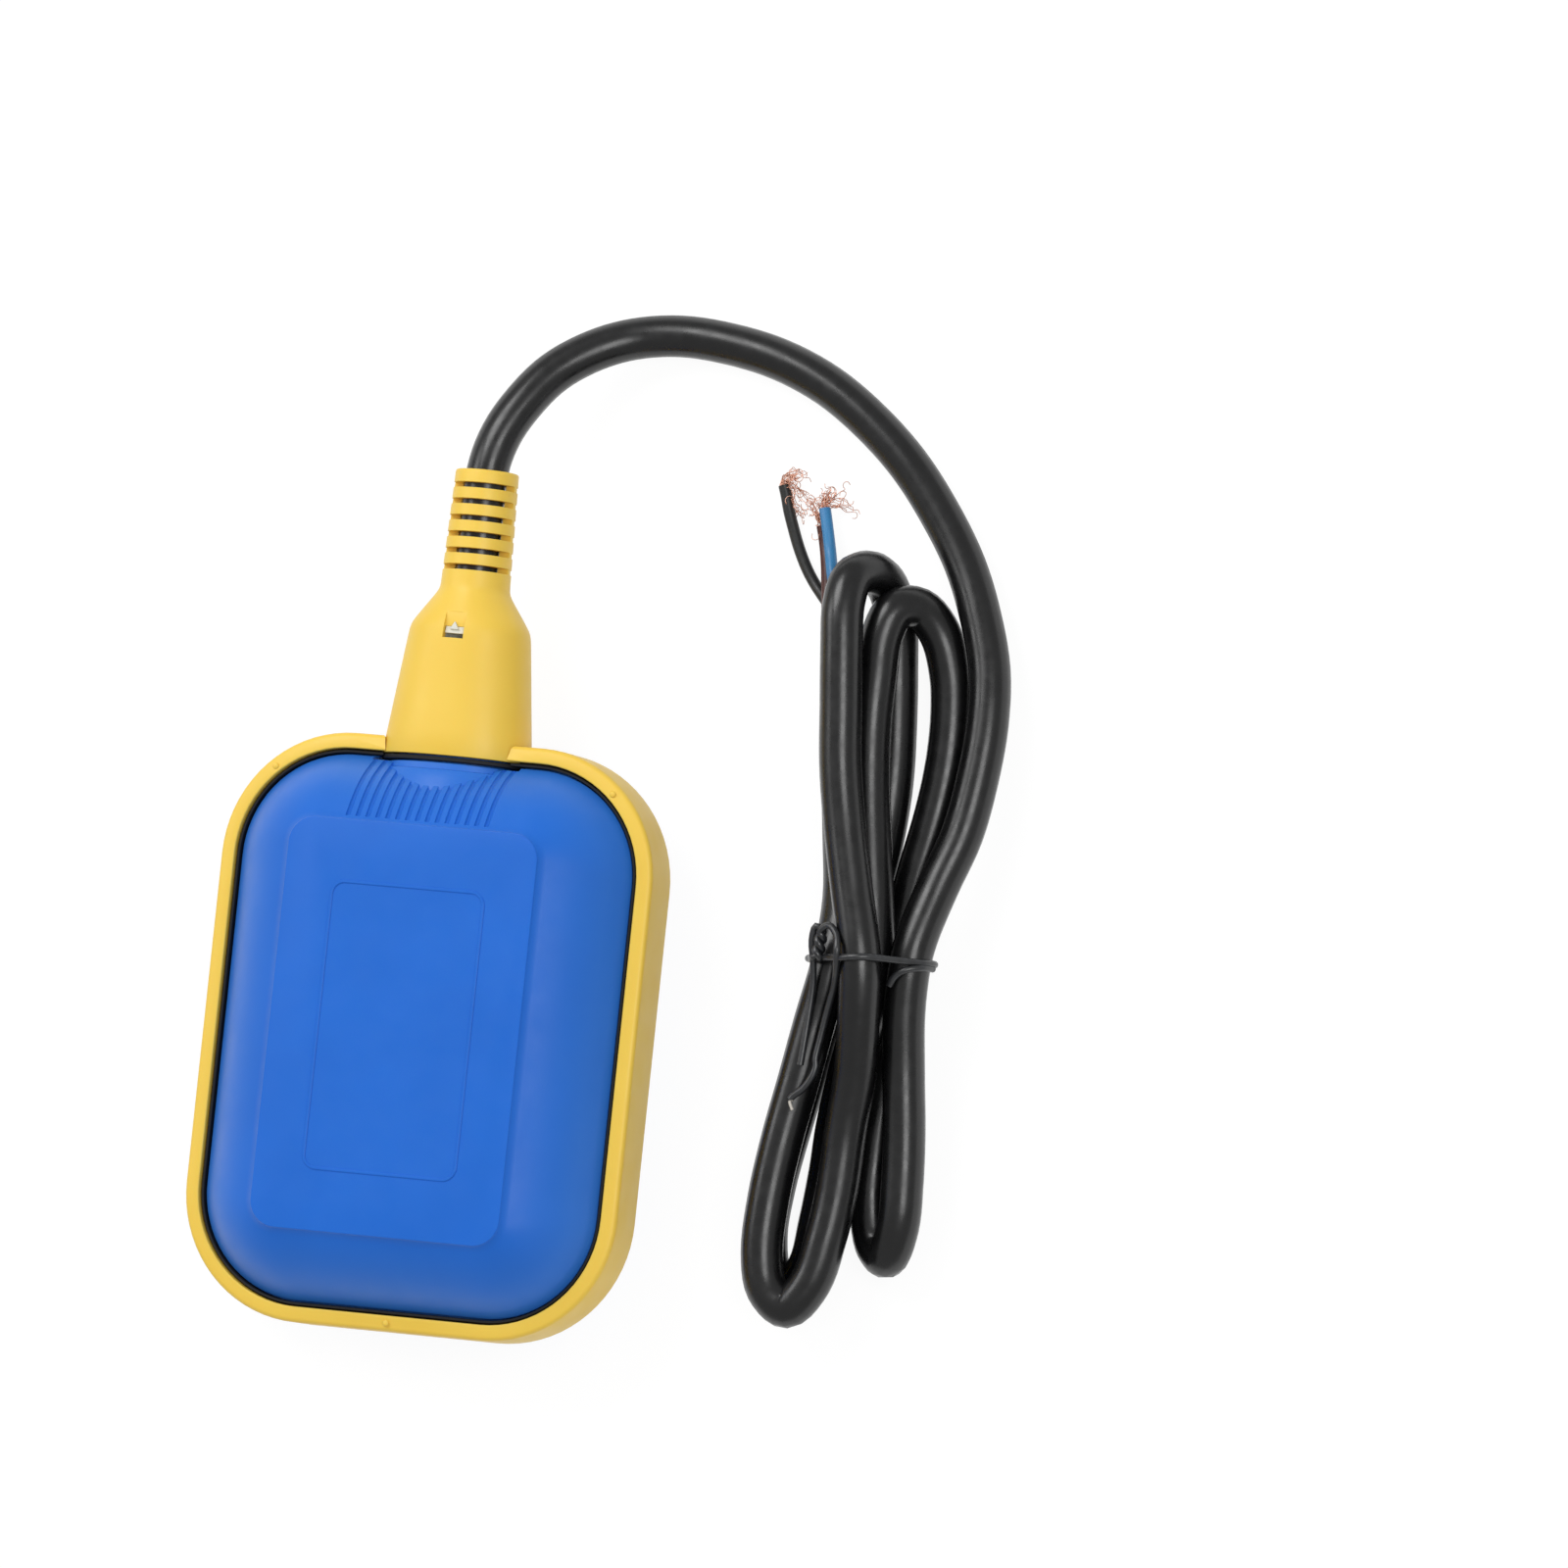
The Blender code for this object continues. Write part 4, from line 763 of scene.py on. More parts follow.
# Polypropylene copolymer, injection moulded in a spark-eroded mould: satin, faintly waxy, and
# light enters a little, so shadows on it stay warm. The grain is drawn coarser than its real
# 0.05 mm so that it shows.
YELLOW = Finish("yellow_polypropylene", "f4cd52", "eec447", 0.42, patch_mm=16, grain_mm=0.5,
                grain_height_mm=0.010, glow=0.10, glow_mm=(2.4, 1.3, 0.4), gloss=0.4)
# The same plastic coloured with a clear blue, more see-through than the yellow
BLUE = ShellFinish("blue_polypropylene", "1d6bd2", "1964c8", 0.40, patch_mm=14, grain_mm=0.45,
                   grain_height_mm=0.008, glow=0.08, glow_mm=(0.4, 0.9, 2.4), gloss=0.28)
# Nitrile rubber, compression moulded: dull black, with talc left in its pores
RUBBER = Finish("black_nitrile_rubber", "101114", "17181b", 0.62, patch_mm=3, grain_mm=0.25,
                grain_height_mm=0.012, gloss=0.35)
# Unfilled nylon 6, moulded: milky, and light goes deep into it
NYLON = Finish("natural_nylon", "e6e3cd", "dcd8bd", 0.38, patch_mm=5, grain_height_mm=0.004, glow=0.35,
               glow_mm=(3.0, 2.6, 2.0), gloss=0.5)
# ABS, moulded with a fine spark grain: even matt grey
GREY_ABS = Finish("grey_abs", "a9abae", "a0a2a6", 0.48, patch_mm=8, grain_height_mm=0.010)
# Phenolic moulding of the microswitch: hard, slightly mottled black
PHENOLIC = Finish("black_phenolic", "232324", "2c2b2a", 0.45, patch_mm=2.5, patch_share=0.8,
                  grain_height_mm=0.006)
# Bearing steel, ground and polished: bright with faint turning marks
BALL_STEEL = DrawnMetal("polished_bearing_steel", "cfd1d4", "c4c6ca", 0.14, metallic=1.0,
                        grain_height_mm=0.001, roughness_swing=0.03)
# Zinc-plated steel, drawn or rolled: slightly grey and streaked
PLATED_STEEL = DrawnMetal("zinc_plated_steel", "c3c5c8", "aeb2b8", 0.30, metallic=1.0,
                          grain_height_mm=0.003)
# Rolled brass with a thin tin wash: pale gold, lightly streaked
BRASS = DrawnMetal("tinned_brass", "d9b56a", "c9a05a", 0.32, metallic=1.0, grain_height_mm=0.003)
# Annealed copper strands: pinkish and bright, dulled where they were handled
COPPER = DrawnMetal("annealed_copper", "efbfa8", "b87558", 0.36, patch_mm=0.9, patch_share=0.9,
                    metallic=1.0, grain_height_mm=0.001)
# Plasticised PVC, extruded over the cores: smooth, so its highlights are long and soft
SHEATH = SheathFinish("black_pvc_sheath", "0b0b0c", "131314", 0.29, patch_mm=7, grain_mm=0.8,
                      grain_height_mm=0.004, roughness_swing=0.05, gloss=0.62)
# PVC over one thin conductor, harder and less glossy than the sheath
CORE_FINISHES = {
    "black": Finish("black_core_pvc", "1b1c1b", "262726", 0.38, patch_mm=2, grain_height_mm=0.004),
    "brown": Finish("brown_core_pvc", "4a211b", "5a2c22", 0.38, patch_mm=2, grain_height_mm=0.004),
    "blue": Finish("blue_core_pvc", "3583b8", "4678ae", 0.36, patch_mm=3, grain_height_mm=0.004),
}
# Thin PVC over soft iron: a wire tie's jacket, scuffed where it was twisted
TIE_JACKET = TieFinish("black_tie_jacket", "1d1e20", "313337", 0.33, patch_mm=1.5, grain_mm=0.4,
                       grain_height_mm=0.008, gloss=0.8)


@dataclass(frozen=True)
class Role:
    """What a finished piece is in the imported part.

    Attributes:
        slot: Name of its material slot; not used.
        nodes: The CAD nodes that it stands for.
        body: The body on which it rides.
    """

    slot: str
    nodes: tuple[str, ...] = ()
    body: str = "root"


def hand_over(item: Item, name: str, finish: Finish, role: Role, smooth: float = 35.0) -> Item:
    """Name, shade and dress a finished piece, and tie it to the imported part.

    Args:
        item: The finished mesh or curve.
        name: Its name.
        finish: Its finish.
        role: What it is in the part.
        smooth: Largest angle between faces that still shade as one surface.

    Returns:
        The same object.
    """
    item.name = name
    item.data.name = name
    item.data.materials.clear()
    item.data.materials.append(finish.material())
    if item.type == "MESH":
        take(item)
        bpy.ops.object.shade_smooth_by_angle(angle=math.radians(smooth))
    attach(item, role.body)
    if role.nodes:
        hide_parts(*role.nodes)
    LOG.info("%s stands for %s", name, ", ".join(role.nodes) or "a detail of its own")
    return item


# The float


@dataclass(frozen=True)
class FloatForm:
    """Sizes that the float's pieces share."""

    half_x: float = 42.2 * MM
    half_y: float = 54.5 * MM
    corner: float = 24.0 * MM
    middle: float = 18.5 * MM
    lip_bottom: float = 3.75 * MM
    half_band: float = 6.2 * MM
    hood_half_x: float = 14.1 * MM
    hood_half_z: float = 10.6 * MM
    hood_roundness: float = 2.12
    hood_start: float = 51.4 * MM
    boss_end: float = 50.0 * MM
    cable_bore: float = 4.2 * MM
    hood_gap: float = 0.1 * MM
    room_span: tuple[float, float] = (45.5 * MM, 59.0 * MM)

    def inset(self, inset: float, rise: float, side: int = 1) -> SlabRing:
        """Outline drawn in from the float's edge, at a height over its middle plane."""
        return SlabRing(self.half_x - inset, self.half_y - inset, self.corner - inset,
                        self.middle + side * rise)

    def hood_room(self) -> Item:
        """Space of the hood's skirt and its fit, which notches the band and the seal."""
        half_x, half_z = self.hood_half_x + self.hood_gap, self.hood_half_z + self.hood_gap
        return bridge("hood_room", [NeckRing(y, half_x, half_z, self.hood_roundness) for y in self.room_span])


@dataclass
class Band:
    """Yellow band moulded round the joint of the shells, with the black seal under its lips."""

    form: FloatForm
    web: float = 1.25 * MM
    reach: float = 2.9 * MM
    edge_radius: float = 1.05 * MM
    face_drop: float = 0.45 * MM
    lip_radius: float = 0.3 * MM
    nub_radius: float = 0.62 * MM
    nub_height: float = 0.22 * MM
    nub_sunk: float = 0.1 * MM
    nub_places: tuple[tuple[float, float], ...] = ((-33.0, 47.1), (33.0, 47.1), (0.0, -53.0))
    lip_steps: int = 3
    edge_steps: int = 8
    # From this share of the edge's radius inwards, its top takes this share of the face's fall
    fall_from: float = 0.7
    fall_share: float = 0.2
    # Upper half of the seal's section, as inset and height in millimetres
    seal_section: tuple[tuple[float, float], ...] = (
        (2.15, 2.65), (3.75, 2.65), (3.75, 5.32), (3.65, 5.47), (3.3, 5.5), (3.2, 5.35), (3.2, 3.45),
        (1.55, 3.45))

    def section(self) -> list[tuple[float, float]]:
        """Upper half of the band's C section, from the web's inside out.

        Returns:
            Inset from the float's edge and height over its middle plane of each point.
        """
        top = self.form.half_band
        points = [(self.web, self.form.lip_bottom), (self.reach, self.form.lip_bottom)]
        for step in range(self.lip_steps + 1):
            turn = math.radians(90 * step / self.lip_steps)
            points.append((self.reach - self.lip_radius * (1 - math.cos(turn)),
                           top - self.lip_radius * (1 - math.sin(turn))))
        fall = self.face_drop / (self.reach - self.lip_radius - self.edge_radius)
        for step in range(self.edge_steps + 1):
            turn = math.radians(90 * step / self.edge_steps)
            inset = self.edge_radius * (1 - math.sin(turn))
            height = top - self.face_drop - self.edge_radius * (1 - math.cos(turn))
            past = max(0.0, inset - self.edge_radius * self.fall_from)
            points.append((inset, height + fall * past * self.fall_share))
        return points

    def build(self) -> Item:
        """Bridge the section round the float, notch it for the hood and add the gate marks.

        Returns:
            The band.
        """
        half = self.section()
        whole = half + [(inset, -height) for inset, height in reversed(half)]
        band = bridge("rim", [self.form.inset(inset, height) for inset, height in whole], closed=True)
        shape(band, self.form.hood_room(), Cut.OFF)
        height = self.form.middle + self.form.half_band - self.nub_sunk
        shape(band, repeated(self.nub(), [(x * MM, y * MM, height) for x, y in self.nub_places]), Cut.ON)
        return hand_over(band, "rim_band", YELLOW, Role("yellow_plastic", ("rim_frame",)))

    def nub(self) -> Item:
        """One gate mark: a ball pressed flat.

        Returns:
            The mark, about the origin.
        """
        bpy.ops.object.select_all(action="DESELECT")
        bpy.ops.mesh.primitive_uv_sphere_add(segments=20, ring_count=10, radius=self.nub_radius)
        nub = bpy.context.object
        nub.name = "nub"
        with editing(nub):
            bpy.ops.mesh.select_all(action="SELECT")
            bpy.ops.transform.resize(value=(1.0, 1.0, (self.nub_height + self.nub_sunk) / self.nub_radius))
        return nub

    def build_seal(self) -> Item:
        """Rubber seal: a web between the flanges and the band, arms, and the bead that shows.

        Returns:
            The seal.
        """
        half = [(inset * MM, height * MM) for inset, height in self.seal_section]
        whole = half + [(inset, -height) for inset, height in reversed(half)]
        seal = bridge("seal", [self.form.inset(inset, height) for inset, height in whole], closed=True)
        shape(seal, self.form.hood_room(), Cut.OFF)
        return hand_over(seal, "rim_seal", RUBBER, Role("black_rubber", ("seal_ring",)))


@dataclass
class Shells:
    """Blue half shells with their panels, ribbed slopes and halves of the neck."""

    form: FloatForm
    wall: float = 2.2 * MM
    skirt: float = 4.8 * MM
    skirt_inset: float = 4.05 * MM
    skirt_inside: float = 3.9 * MM
    flange_inset: float = 2.45 * MM
    flange_rise: float = 2.35 * MM
    flange_ease: float = 0.1 * MM
    crown: float = 1.5 * MM
    panel_half_x: float = 24.25 * MM
    panel_half_y: float = 37.75 * MM
    panel_radius: float = 5.0 * MM
    panel_step: float = 0.4 * MM
    panel_edge: float = 0.2 * MM
    panel_inside_radius: float = 3.6 * MM
    # Shares of panel_edge out and of panel_step up, along the rounding of the panel's edge
    panel_round: tuple[tuple[float, float], ...] = ((0.45, 0.45), (0.1, 0.8), (-0.25, 0.96), (-0.7, 1.0))
    slope_steps: int = 14
    groove_count: int = 15
    groove_pitch: float = 1.93 * MM
    groove_radius: float = 0.46 * MM
    groove_span: tuple[float, float] = (0.05, 0.965)
    frame_half_x: float = 15.1 * MM
    frame_half_y: float = 26.65 * MM
    frame_radius: float = 2.8 * MM
    frame_line: float = 0.6 * MM
    frame_rise: float = 0.2 * MM
    frame_sunk: float = 0.5 * MM
    saddle_places: tuple[float, float] = (-22.0 * MM, 14.0 * MM)
    saddle_half_x: float = 20.8 * MM
    saddle_half_y: float = 0.9 * MM
    saddle_low: float = 7.55 * MM
    channel_x: float = 10.0 * MM
    channel_radius: float = 12.8 * MM
    bore_radius: float = 4.5 * MM
    bore_span: tuple[float, float] = (36.5 * MM, 56.0 * MM)
    socket_half_x: float = 7.7 * MM
    socket_half_z: float = 5.7 * MM
    socket_span: tuple[float, float] = (55.7 * MM, 74.2 * MM)
    spare: float = 1.1 * MM
    # Place along the neck and half sizes of the outlines of boss and collar, in millimetres
    boss_rings: tuple[Point, ...] = (
        (41.5, 8.4, 12.96), (42.6, 10.0, 12.88), (44.0, 11.2, 12.65), (45.5, 12.0, 12.3), (47.0, 12.5, 11.8),
        (48.4, 12.8, 11.2), (48.7, 12.8, 10.95), (48.85, 12.4, 10.3), (49.9, 12.4, 10.2), (50.0, 12.3, 10.1))
    boss_roundness: float = 2.15
    collar_rings: tuple[Point, ...] = (
        (46.13, 11.0, 8.6), (50.3, 11.0, 8.6), (71.7, 9.62, 7.52), (72.0, 9.4, 7.3))
    # Where the cutters end, well clear of the shell
    notch_end: float = 200 * MM
    notch_heights: tuple[float, float] = (-10 * MM, 50 * MM)
    half_cut_x: float = 50 * MM
    half_cut_span: tuple[float, float] = (-60 * MM, 80 * MM)
    half_cut_depth: float = 30 * MM
    seat_reach: float = 2 * MM
    seat_steps: int = 64

    def slope(self, share: float, side: Side) -> SlabRing:
        """Outline on the crowned slope, from the skirt at 0 to the panel's foot at 1.

        Args:
            share: How far up the slope.
            side: Which half.

        Returns:
            The outline.
        """
        form, crown = self.form, self.crown * math.sin(math.pi * share) / math.sqrt(2)
        start = form.inset(self.skirt_inset, self.skirt)
        foot = self.panel_edge
        top = form.middle - self.panel_step
        return SlabRing(start.half_x + (self.panel_half_x + foot - start.half_x) * share + crown,
                        start.half_y + (self.panel_half_y + foot - start.half_y) * share + crown,
                        start.radius + (self.panel_radius + foot - start.radius) * share + crown,
                        form.middle + side.value * (self.skirt + (top - self.skirt) * share + crown))

    def panel(self, out: float, rise: float, side: Side) -> SlabRing:
        """Outline at the panel's edge, out from it and up towards its face."""
        return SlabRing(self.panel_half_x + out, self.panel_half_y + out, self.panel_radius + out,
                        self.form.middle + side.value * (self.form.middle - self.panel_step + rise))

    def skin(self, side: Side) -> Item:
        """Closed shell: flange, skirt, slope and panel outside, and the same drawn in by the wall.

        It reaches a little past the middle plane, where build() cuts it straight with its neck.

        Args:
            side: Which half.

        Returns:
            The shell without its neck.
        """
        form, way = self.form, side.value
        inner_face = form.middle - self.wall
        rings = [
            SlabRing(self.panel_half_x - self.wall, self.panel_half_y - self.wall, self.panel_inside_radius,
                     form.middle + way * inner_face),
            form.inset(self.skirt_inset + self.wall, self.skirt_inside, way),
            form.inset(self.skirt_inset + self.wall, -self.spare, way),
            form.inset(self.flange_inset, -self.spare, way),
            form.inset(self.flange_inset, self.flange_rise - self.flange_ease, way),
            form.inset(self.flange_inset + self.flange_ease, self.flange_rise, way),
            form.inset(self.skirt_inset, self.flange_rise, way),
        ]
        rings += [self.slope(step / self.slope_steps, side) for step in range(self.slope_steps + 1)]
        rings += [self.panel(self.panel_edge * out, self.panel_step * rise, side)
                  for out, rise in self.panel_round]
        return bridge("shell", rings)

    def groove(self, side: Side) -> Item:
        """Round-bottomed cutter along the middle of the slope above the neck.

        Args:
            side: Which half.

        Returns:
            The cutter.
        """
        first, last = self.groove_span
        shares = [first, *[step / self.slope_steps for step in range(1, self.slope_steps)], last]
        line = []
        for share in shares:
            ring = self.slope(share, side)
            line.append(Vector((0.0, ring.half_y, ring.z)))
        rings = []
        for index, point in enumerate(line):
            way = line[min(index + 1, len(line) - 1)] - line[max(index - 1, 0)]
            rings.append(RoundRing(point, self.groove_radius, math.atan2(-way.y, way.z)))
        return bridge("groove", rings)

    def grooves(self, side: Side) -> Item:
        """The whole row of grooves, copied from one."""
        middle = (self.groove_count - 1) / 2
        return repeated(self.groove(side), [((index - middle) * self.groove_pitch, 0.0, 0.0)
                                            for index in range(self.groove_count)])

    def neck(self) -> Item:
        """Boss that swells out of both slopes, and the collar that goes up into the hood.

        Returns:
            Both halves of the neck as one solid.
        """
        boss = bridge("boss", [NeckRing(y * MM, x * MM, z * MM, self.boss_roundness)
                               for y, x, z in self.boss_rings])
        collar = bridge("collar", [NeckRing(y * MM, x * MM, z * MM) for y, x, z in self.collar_rings])
        shape(boss, collar, Cut.ON)
        return boss

    def frame_outline(self) -> Item:
        """Thin raised outline on the front panel, bare inside.

        Returns:
            The outline, a little sunk into the panel.
        """
        rings = []
        base = 2 * self.form.middle
        line, rise, sunk = self.frame_line, self.frame_rise, -self.frame_sunk
        for inset, z in ((0.0, sunk), (0.0, rise * 0.5), (line * 0.25, rise), (line * 0.75, rise),
                         (line, rise * 0.5), (line, sunk)):
            rings.append(SlabRing(self.frame_half_x - inset, self.frame_half_y - inset,
                                  self.frame_radius - inset, base + z))
        return bridge("panel_line", rings, closed=True)

    def build(self, side: Side, name: str, node: str) -> Item:
        """Model one shell.

        Args:
            side: Which half.
            name: The piece's name.
            node: The CAD node that it stands for.

        Returns:
            The finished shell.
        """
        form, way = self.form, side.value
        shell = self.skin(side)
        reach = form.hood_half_x + FIT
        low, high = self.notch_heights
        notch = block("notch", (-reach, form.boss_end - FIT / 2, low), (reach, self.notch_end, high))
        shape(shell, notch, Cut.OFF)
        shape(shell, self.grooves(side), Cut.OFF)
        shape(shell, self.neck(), Cut.ON)
        ends = [Vector((0.0, y, form.middle)) for y in self.bore_span]
        shape(shell, bar("bore", *ends, self.bore_radius), Cut.OFF)
        socket = [NeckRing(y, self.socket_half_x, self.socket_half_z) for y in self.socket_span]
        shape(shell, bridge("socket", socket), Cut.OFF)
        (start, end), across = self.half_cut_span, self.half_cut_x
        low, high = sorted((form.middle + way * FIT / 2, form.middle - way * self.half_cut_depth))
        shape(shell, block("other_half", (-across, start, low), (across, end, high)), Cut.OFF)
        shape(shell, repeated(self.saddle(side), [(0.0, place, 0.0) for place in self.saddle_places]), Cut.ON)
        if side is Side.FRONT:
            shape(shell, self.frame_outline(), Cut.ON)
        return hand_over(shell, name, BLUE, Role("blue_plastic", (node,)), smooth=28.0)

    def saddle(self, side: Side) -> Item:
        """Rib under the panel with a round seat for the ball's channel.

        Args:
            side: Which half.

        Returns:
            The rib, with its middle at y = 0.
        """
        low, high = sorted((self.form.middle + side.value * self.saddle_low,
                            self.form.middle + side.value * (self.form.middle - self.wall / 2)))
        rib = block("saddle", (-self.saddle_half_x, -self.saddle_half_y, low),
                    (self.saddle_half_x, self.saddle_half_y, high))
        middle = Vector((self.channel_x, 0.0, self.form.middle))
        along = Vector((0.0, self.seat_reach, 0.0))
        seat = bar("seat", middle - along, middle + along, self.channel_radius, self.seat_steps)
        shape(rib, seat, Cut.OFF)
        return rib


@dataclass
class Neck:
    """Yellow hood with its slotted sleeve, its gasket and the nylon insert behind its windows."""

    form: FloatForm
    shoulder_start: float = 74.7 * MM
    shoulder_end: float = 83.0 * MM
    shoulder_half_x: float = 11.35 * MM
    shoulder_half_z: float = 9.4 * MM
    wall: float = 1.6 * MM
    sleeve_end: float = 104.8 * MM
    sleeve_radius: float = 6.4 * MM
    tip_radius: float = 5.85 * MM
    kerf_count: int = 6
    kerf_start: float = 86.6 * MM
    kerf_pitch: float = 3.05 * MM
    kerf_width: float = 1.05 * MM
    spine: float = 0.6 * MM
    window_place: float = 75.6 * MM
    window_half_x: float = 2.0 * MM
    window_half_y: float = 2.5 * MM
    window_reach: float = 21.2 * MM
    hole_length: float = 2.2 * MM
    pocket_z: float = 8.25 * MM
    pocket_setback: float = 0.2 * MM
    pocket_edge: float = 0.15 * MM
    throat_share: float = 0.71
    throat_half_x: float = 6.2 * MM
    throat_half_z: float = 5.9 * MM
    throat_run: float = 0.6 * MM
    mouth_ease: float = 0.15 * MM
    mouth_run: float = 0.3 * MM
    gasket_span: tuple[float, float] = (50.3 * MM, 51.1 * MM)
    gasket_inside: tuple[float, float] = (11.3 * MM, 8.9 * MM)
    gasket_ease: float = 0.15 * MM
    hook_half_x: float = 1.85 * MM
    hook_setback: float = 0.9 * MM
    hook_length: float = 1.25 * MM
    hook_span: tuple[float, float] = (5.0 * MM, 8.6 * MM)
    hook_fall: float = 0.35 * MM
    hook_edge: float = 0.08 * MM
    nose_radius: float = 1.0 * MM
    nose_thick: float = 0.7 * MM
    nose_z: float = 8.66 * MM
    nose_ahead: float = 1.2 * MM
    nose_edge: float = 0.12 * MM
    step_low: Point = (-2.3 * MM, 72.9 * MM, 4.6 * MM)
    step_high: Point = (2.3 * MM, 74.05 * MM, 9.0 * MM)
    # Place along the neck and half sizes of the insert's outlines, in millimetres
    insert_rings: tuple[Point, ...] = (
        (63.3, 7.4, 5.4), (72.3, 7.4, 5.4), (72.3, 9.1, 7.15), (72.5, 9.3, 7.35), (74.2, 9.3, 7.35),
        (79.5, 6.35, 6.0), (79.8, 6.1, 5.8))
    # How far the shoulder has drawn in at each share of its length
    eases: tuple[tuple[float, float], ...] = (
        (-0.16, 0.0), (-0.05, 0.004), (0.03, 0.018), (0.10, 0.048), (0.18, 0.108), (0.30, 0.235),
        (0.46, 0.42), (0.62, 0.61), (0.76, 0.775), (0.86, 0.885), (0.94, 0.955), (1.02, 0.988), (1.12, 1.0))
    # How far in the skirt's rounded edge is at each step from its start, in millimetres
    skirt_edge: tuple[tuple[float, float], ...] = ((0.0, 0.25), (0.08, 0.08), (0.25, 0.0))
    skirt_shares: tuple[float, ...] = (0.2, 0.4, 0.6, 0.8)
    # How far back from the sleeve's tip its rounded edge runs, and how far in, in millimetres
    tip_edge: tuple[tuple[float, float], ...] = ((0.5, 0.0), (0.22, 0.06), (0.06, 0.2), (0.0, 0.42))

    def skirt(self, y: float, drawn_in: float = 0.0) -> NeckRing:
        """Outline of the tapering skirt.

        Args:
            y: Place along the neck.
            drawn_in: How far it lies inside the skirt's surface.

        Returns:
            The outline.
        """
        form = self.form
        share = (y - form.hood_start) / (self.shoulder_start - form.hood_start)
        half_x = form.hood_half_x + (self.shoulder_half_x - form.hood_half_x) * share
        half_z = form.hood_half_z + (self.shoulder_half_z - form.hood_half_z) * share
        return NeckRing(y, half_x - drawn_in, half_z - drawn_in, form.hood_roundness)

    def outer(self) -> list[NeckRing]:
        """Outlines of the hood's outside, from its skirt to the sleeve's tip.

        Returns:
            The outlines.
        """
        form = self.form
        length = self.shoulder_start - form.hood_start
        rings = [self.skirt(form.hood_start + along * MM, inset * MM) for along, inset in self.skirt_edge]
        rings += [self.skirt(form.hood_start + length * share) for share in self.skirt_shares]
        run = self.shoulder_end - self.shoulder_start
        for share, ease in self.eases:
            y = self.shoulder_start + run * share
            base = self.skirt(y)
            if share > 0:
                base = NeckRing(y, self.shoulder_half_x, self.shoulder_half_z)
            rings.append(NeckRing(y, base.half_x + (self.sleeve_radius - base.half_x) * ease,
                                  base.half_z + (self.sleeve_radius - base.half_z) * ease,
                                  form.hood_roundness + (2.0 - form.hood_roundness) * ease))
        for back, inset in self.tip_edge:
            radius = self.tip_radius - inset * MM
            rings.append(NeckRing(self.sleeve_end - back * MM, radius, radius))
        return rings

    def inner(self) -> list[NeckRing]:
        """Outlines of the hood's inside, back from the tip to the skirt.

        Returns:
            The outlines.
        """
        form, bore = self.form, self.form.cable_bore
        ledge = self.shoulder_start + self.throat_share * (self.shoulder_end - self.shoulder_start)
        return [
            NeckRing(self.sleeve_end, bore + self.mouth_ease, bore + self.mouth_ease),
            NeckRing(self.sleeve_end - self.mouth_run, bore, bore),
            NeckRing(ledge + self.throat_run, bore, bore),
            NeckRing(ledge, self.throat_half_x, self.throat_half_z),
            NeckRing(self.shoulder_start, self.shoulder_half_x - self.wall, self.shoulder_half_z - self.wall,
                     form.hood_roundness),
            NeckRing(form.hood_start, form.hood_half_x - self.wall, form.hood_half_z - self.wall,
                     form.hood_roundness),
        ]

    def slots(self) -> Item:
        """Cutters of the kerfs, from the front and from the back, with the spine left between.

        Returns:
            All of them as one object.
        """
        reach, half = 2 * self.sleeve_radius, self.kerf_width / 2
        kerf = block("kerf", (-reach, -half, self.form.middle), (reach, half, self.form.middle + reach))
        places = [(0.0, self.kerf_start + index * self.kerf_pitch, rise) for index in range(self.kerf_count)
                  for rise in (self.spine, -reach - self.spine)]
        return repeated(kerf, places)

    def windows(self) -> list[Item]:
        """Cutters of the latch windows: a hole through both walls, and a pocket above each.

        Returns:
            The three cutters.
        """
        half_x, middle, reach = self.window_half_x, self.form.middle, self.window_reach
        start, end = self.window_place - self.window_half_y, self.window_place + self.window_half_y
        tools = [block("hole", (-half_x, start, middle - reach),
                       (half_x, start + self.hole_length, middle + reach))]
        for way in (1, -1):
            low, high = sorted((middle + way * self.pocket_z, middle + way * reach))
            tools.append(block("pocket", (-half_x, start + self.pocket_setback, low), (half_x, end, high),
                               self.pocket_edge))
        return tools

    def build_hood(self) -> Item:
        """Bridge the hood's wall, then slot its sleeve and open its windows.

        Returns:
            The hood.
        """
        hood = bridge("hood", self.outer() + self.inner(), closed=True)
        shape(hood, self.slots(), Cut.OFF)
        for tool in self.windows():
            shape(hood, tool, Cut.OFF)
        return hand_over(hood, "neck_hood", YELLOW, Role("yellow_plastic", ("cable_hood",)), smooth=30.0)

    def build_gasket(self) -> Item:
        """Flat oval washer between the shells' boss and the hood, its edges pressed round.

        Returns:
            The gasket.
        """
        (start, end), (in_x, in_z), ease = self.gasket_span, self.gasket_inside, self.gasket_ease
        out_x, out_z = self.form.hood_half_x, self.form.hood_half_z
        washer = bridge("gasket", [
            NeckRing(start, in_x, in_z), NeckRing(start, out_x - ease, out_z - ease),
            NeckRing(start + ease, out_x, out_z), NeckRing(end - ease, out_x, out_z),
            NeckRing(end, out_x - ease, out_z - ease), NeckRing(end, in_x, in_z)], closed=True)
        return hand_over(washer, "hood_gasket", RUBBER, Role("black_rubber", ("neck_gasket",)))

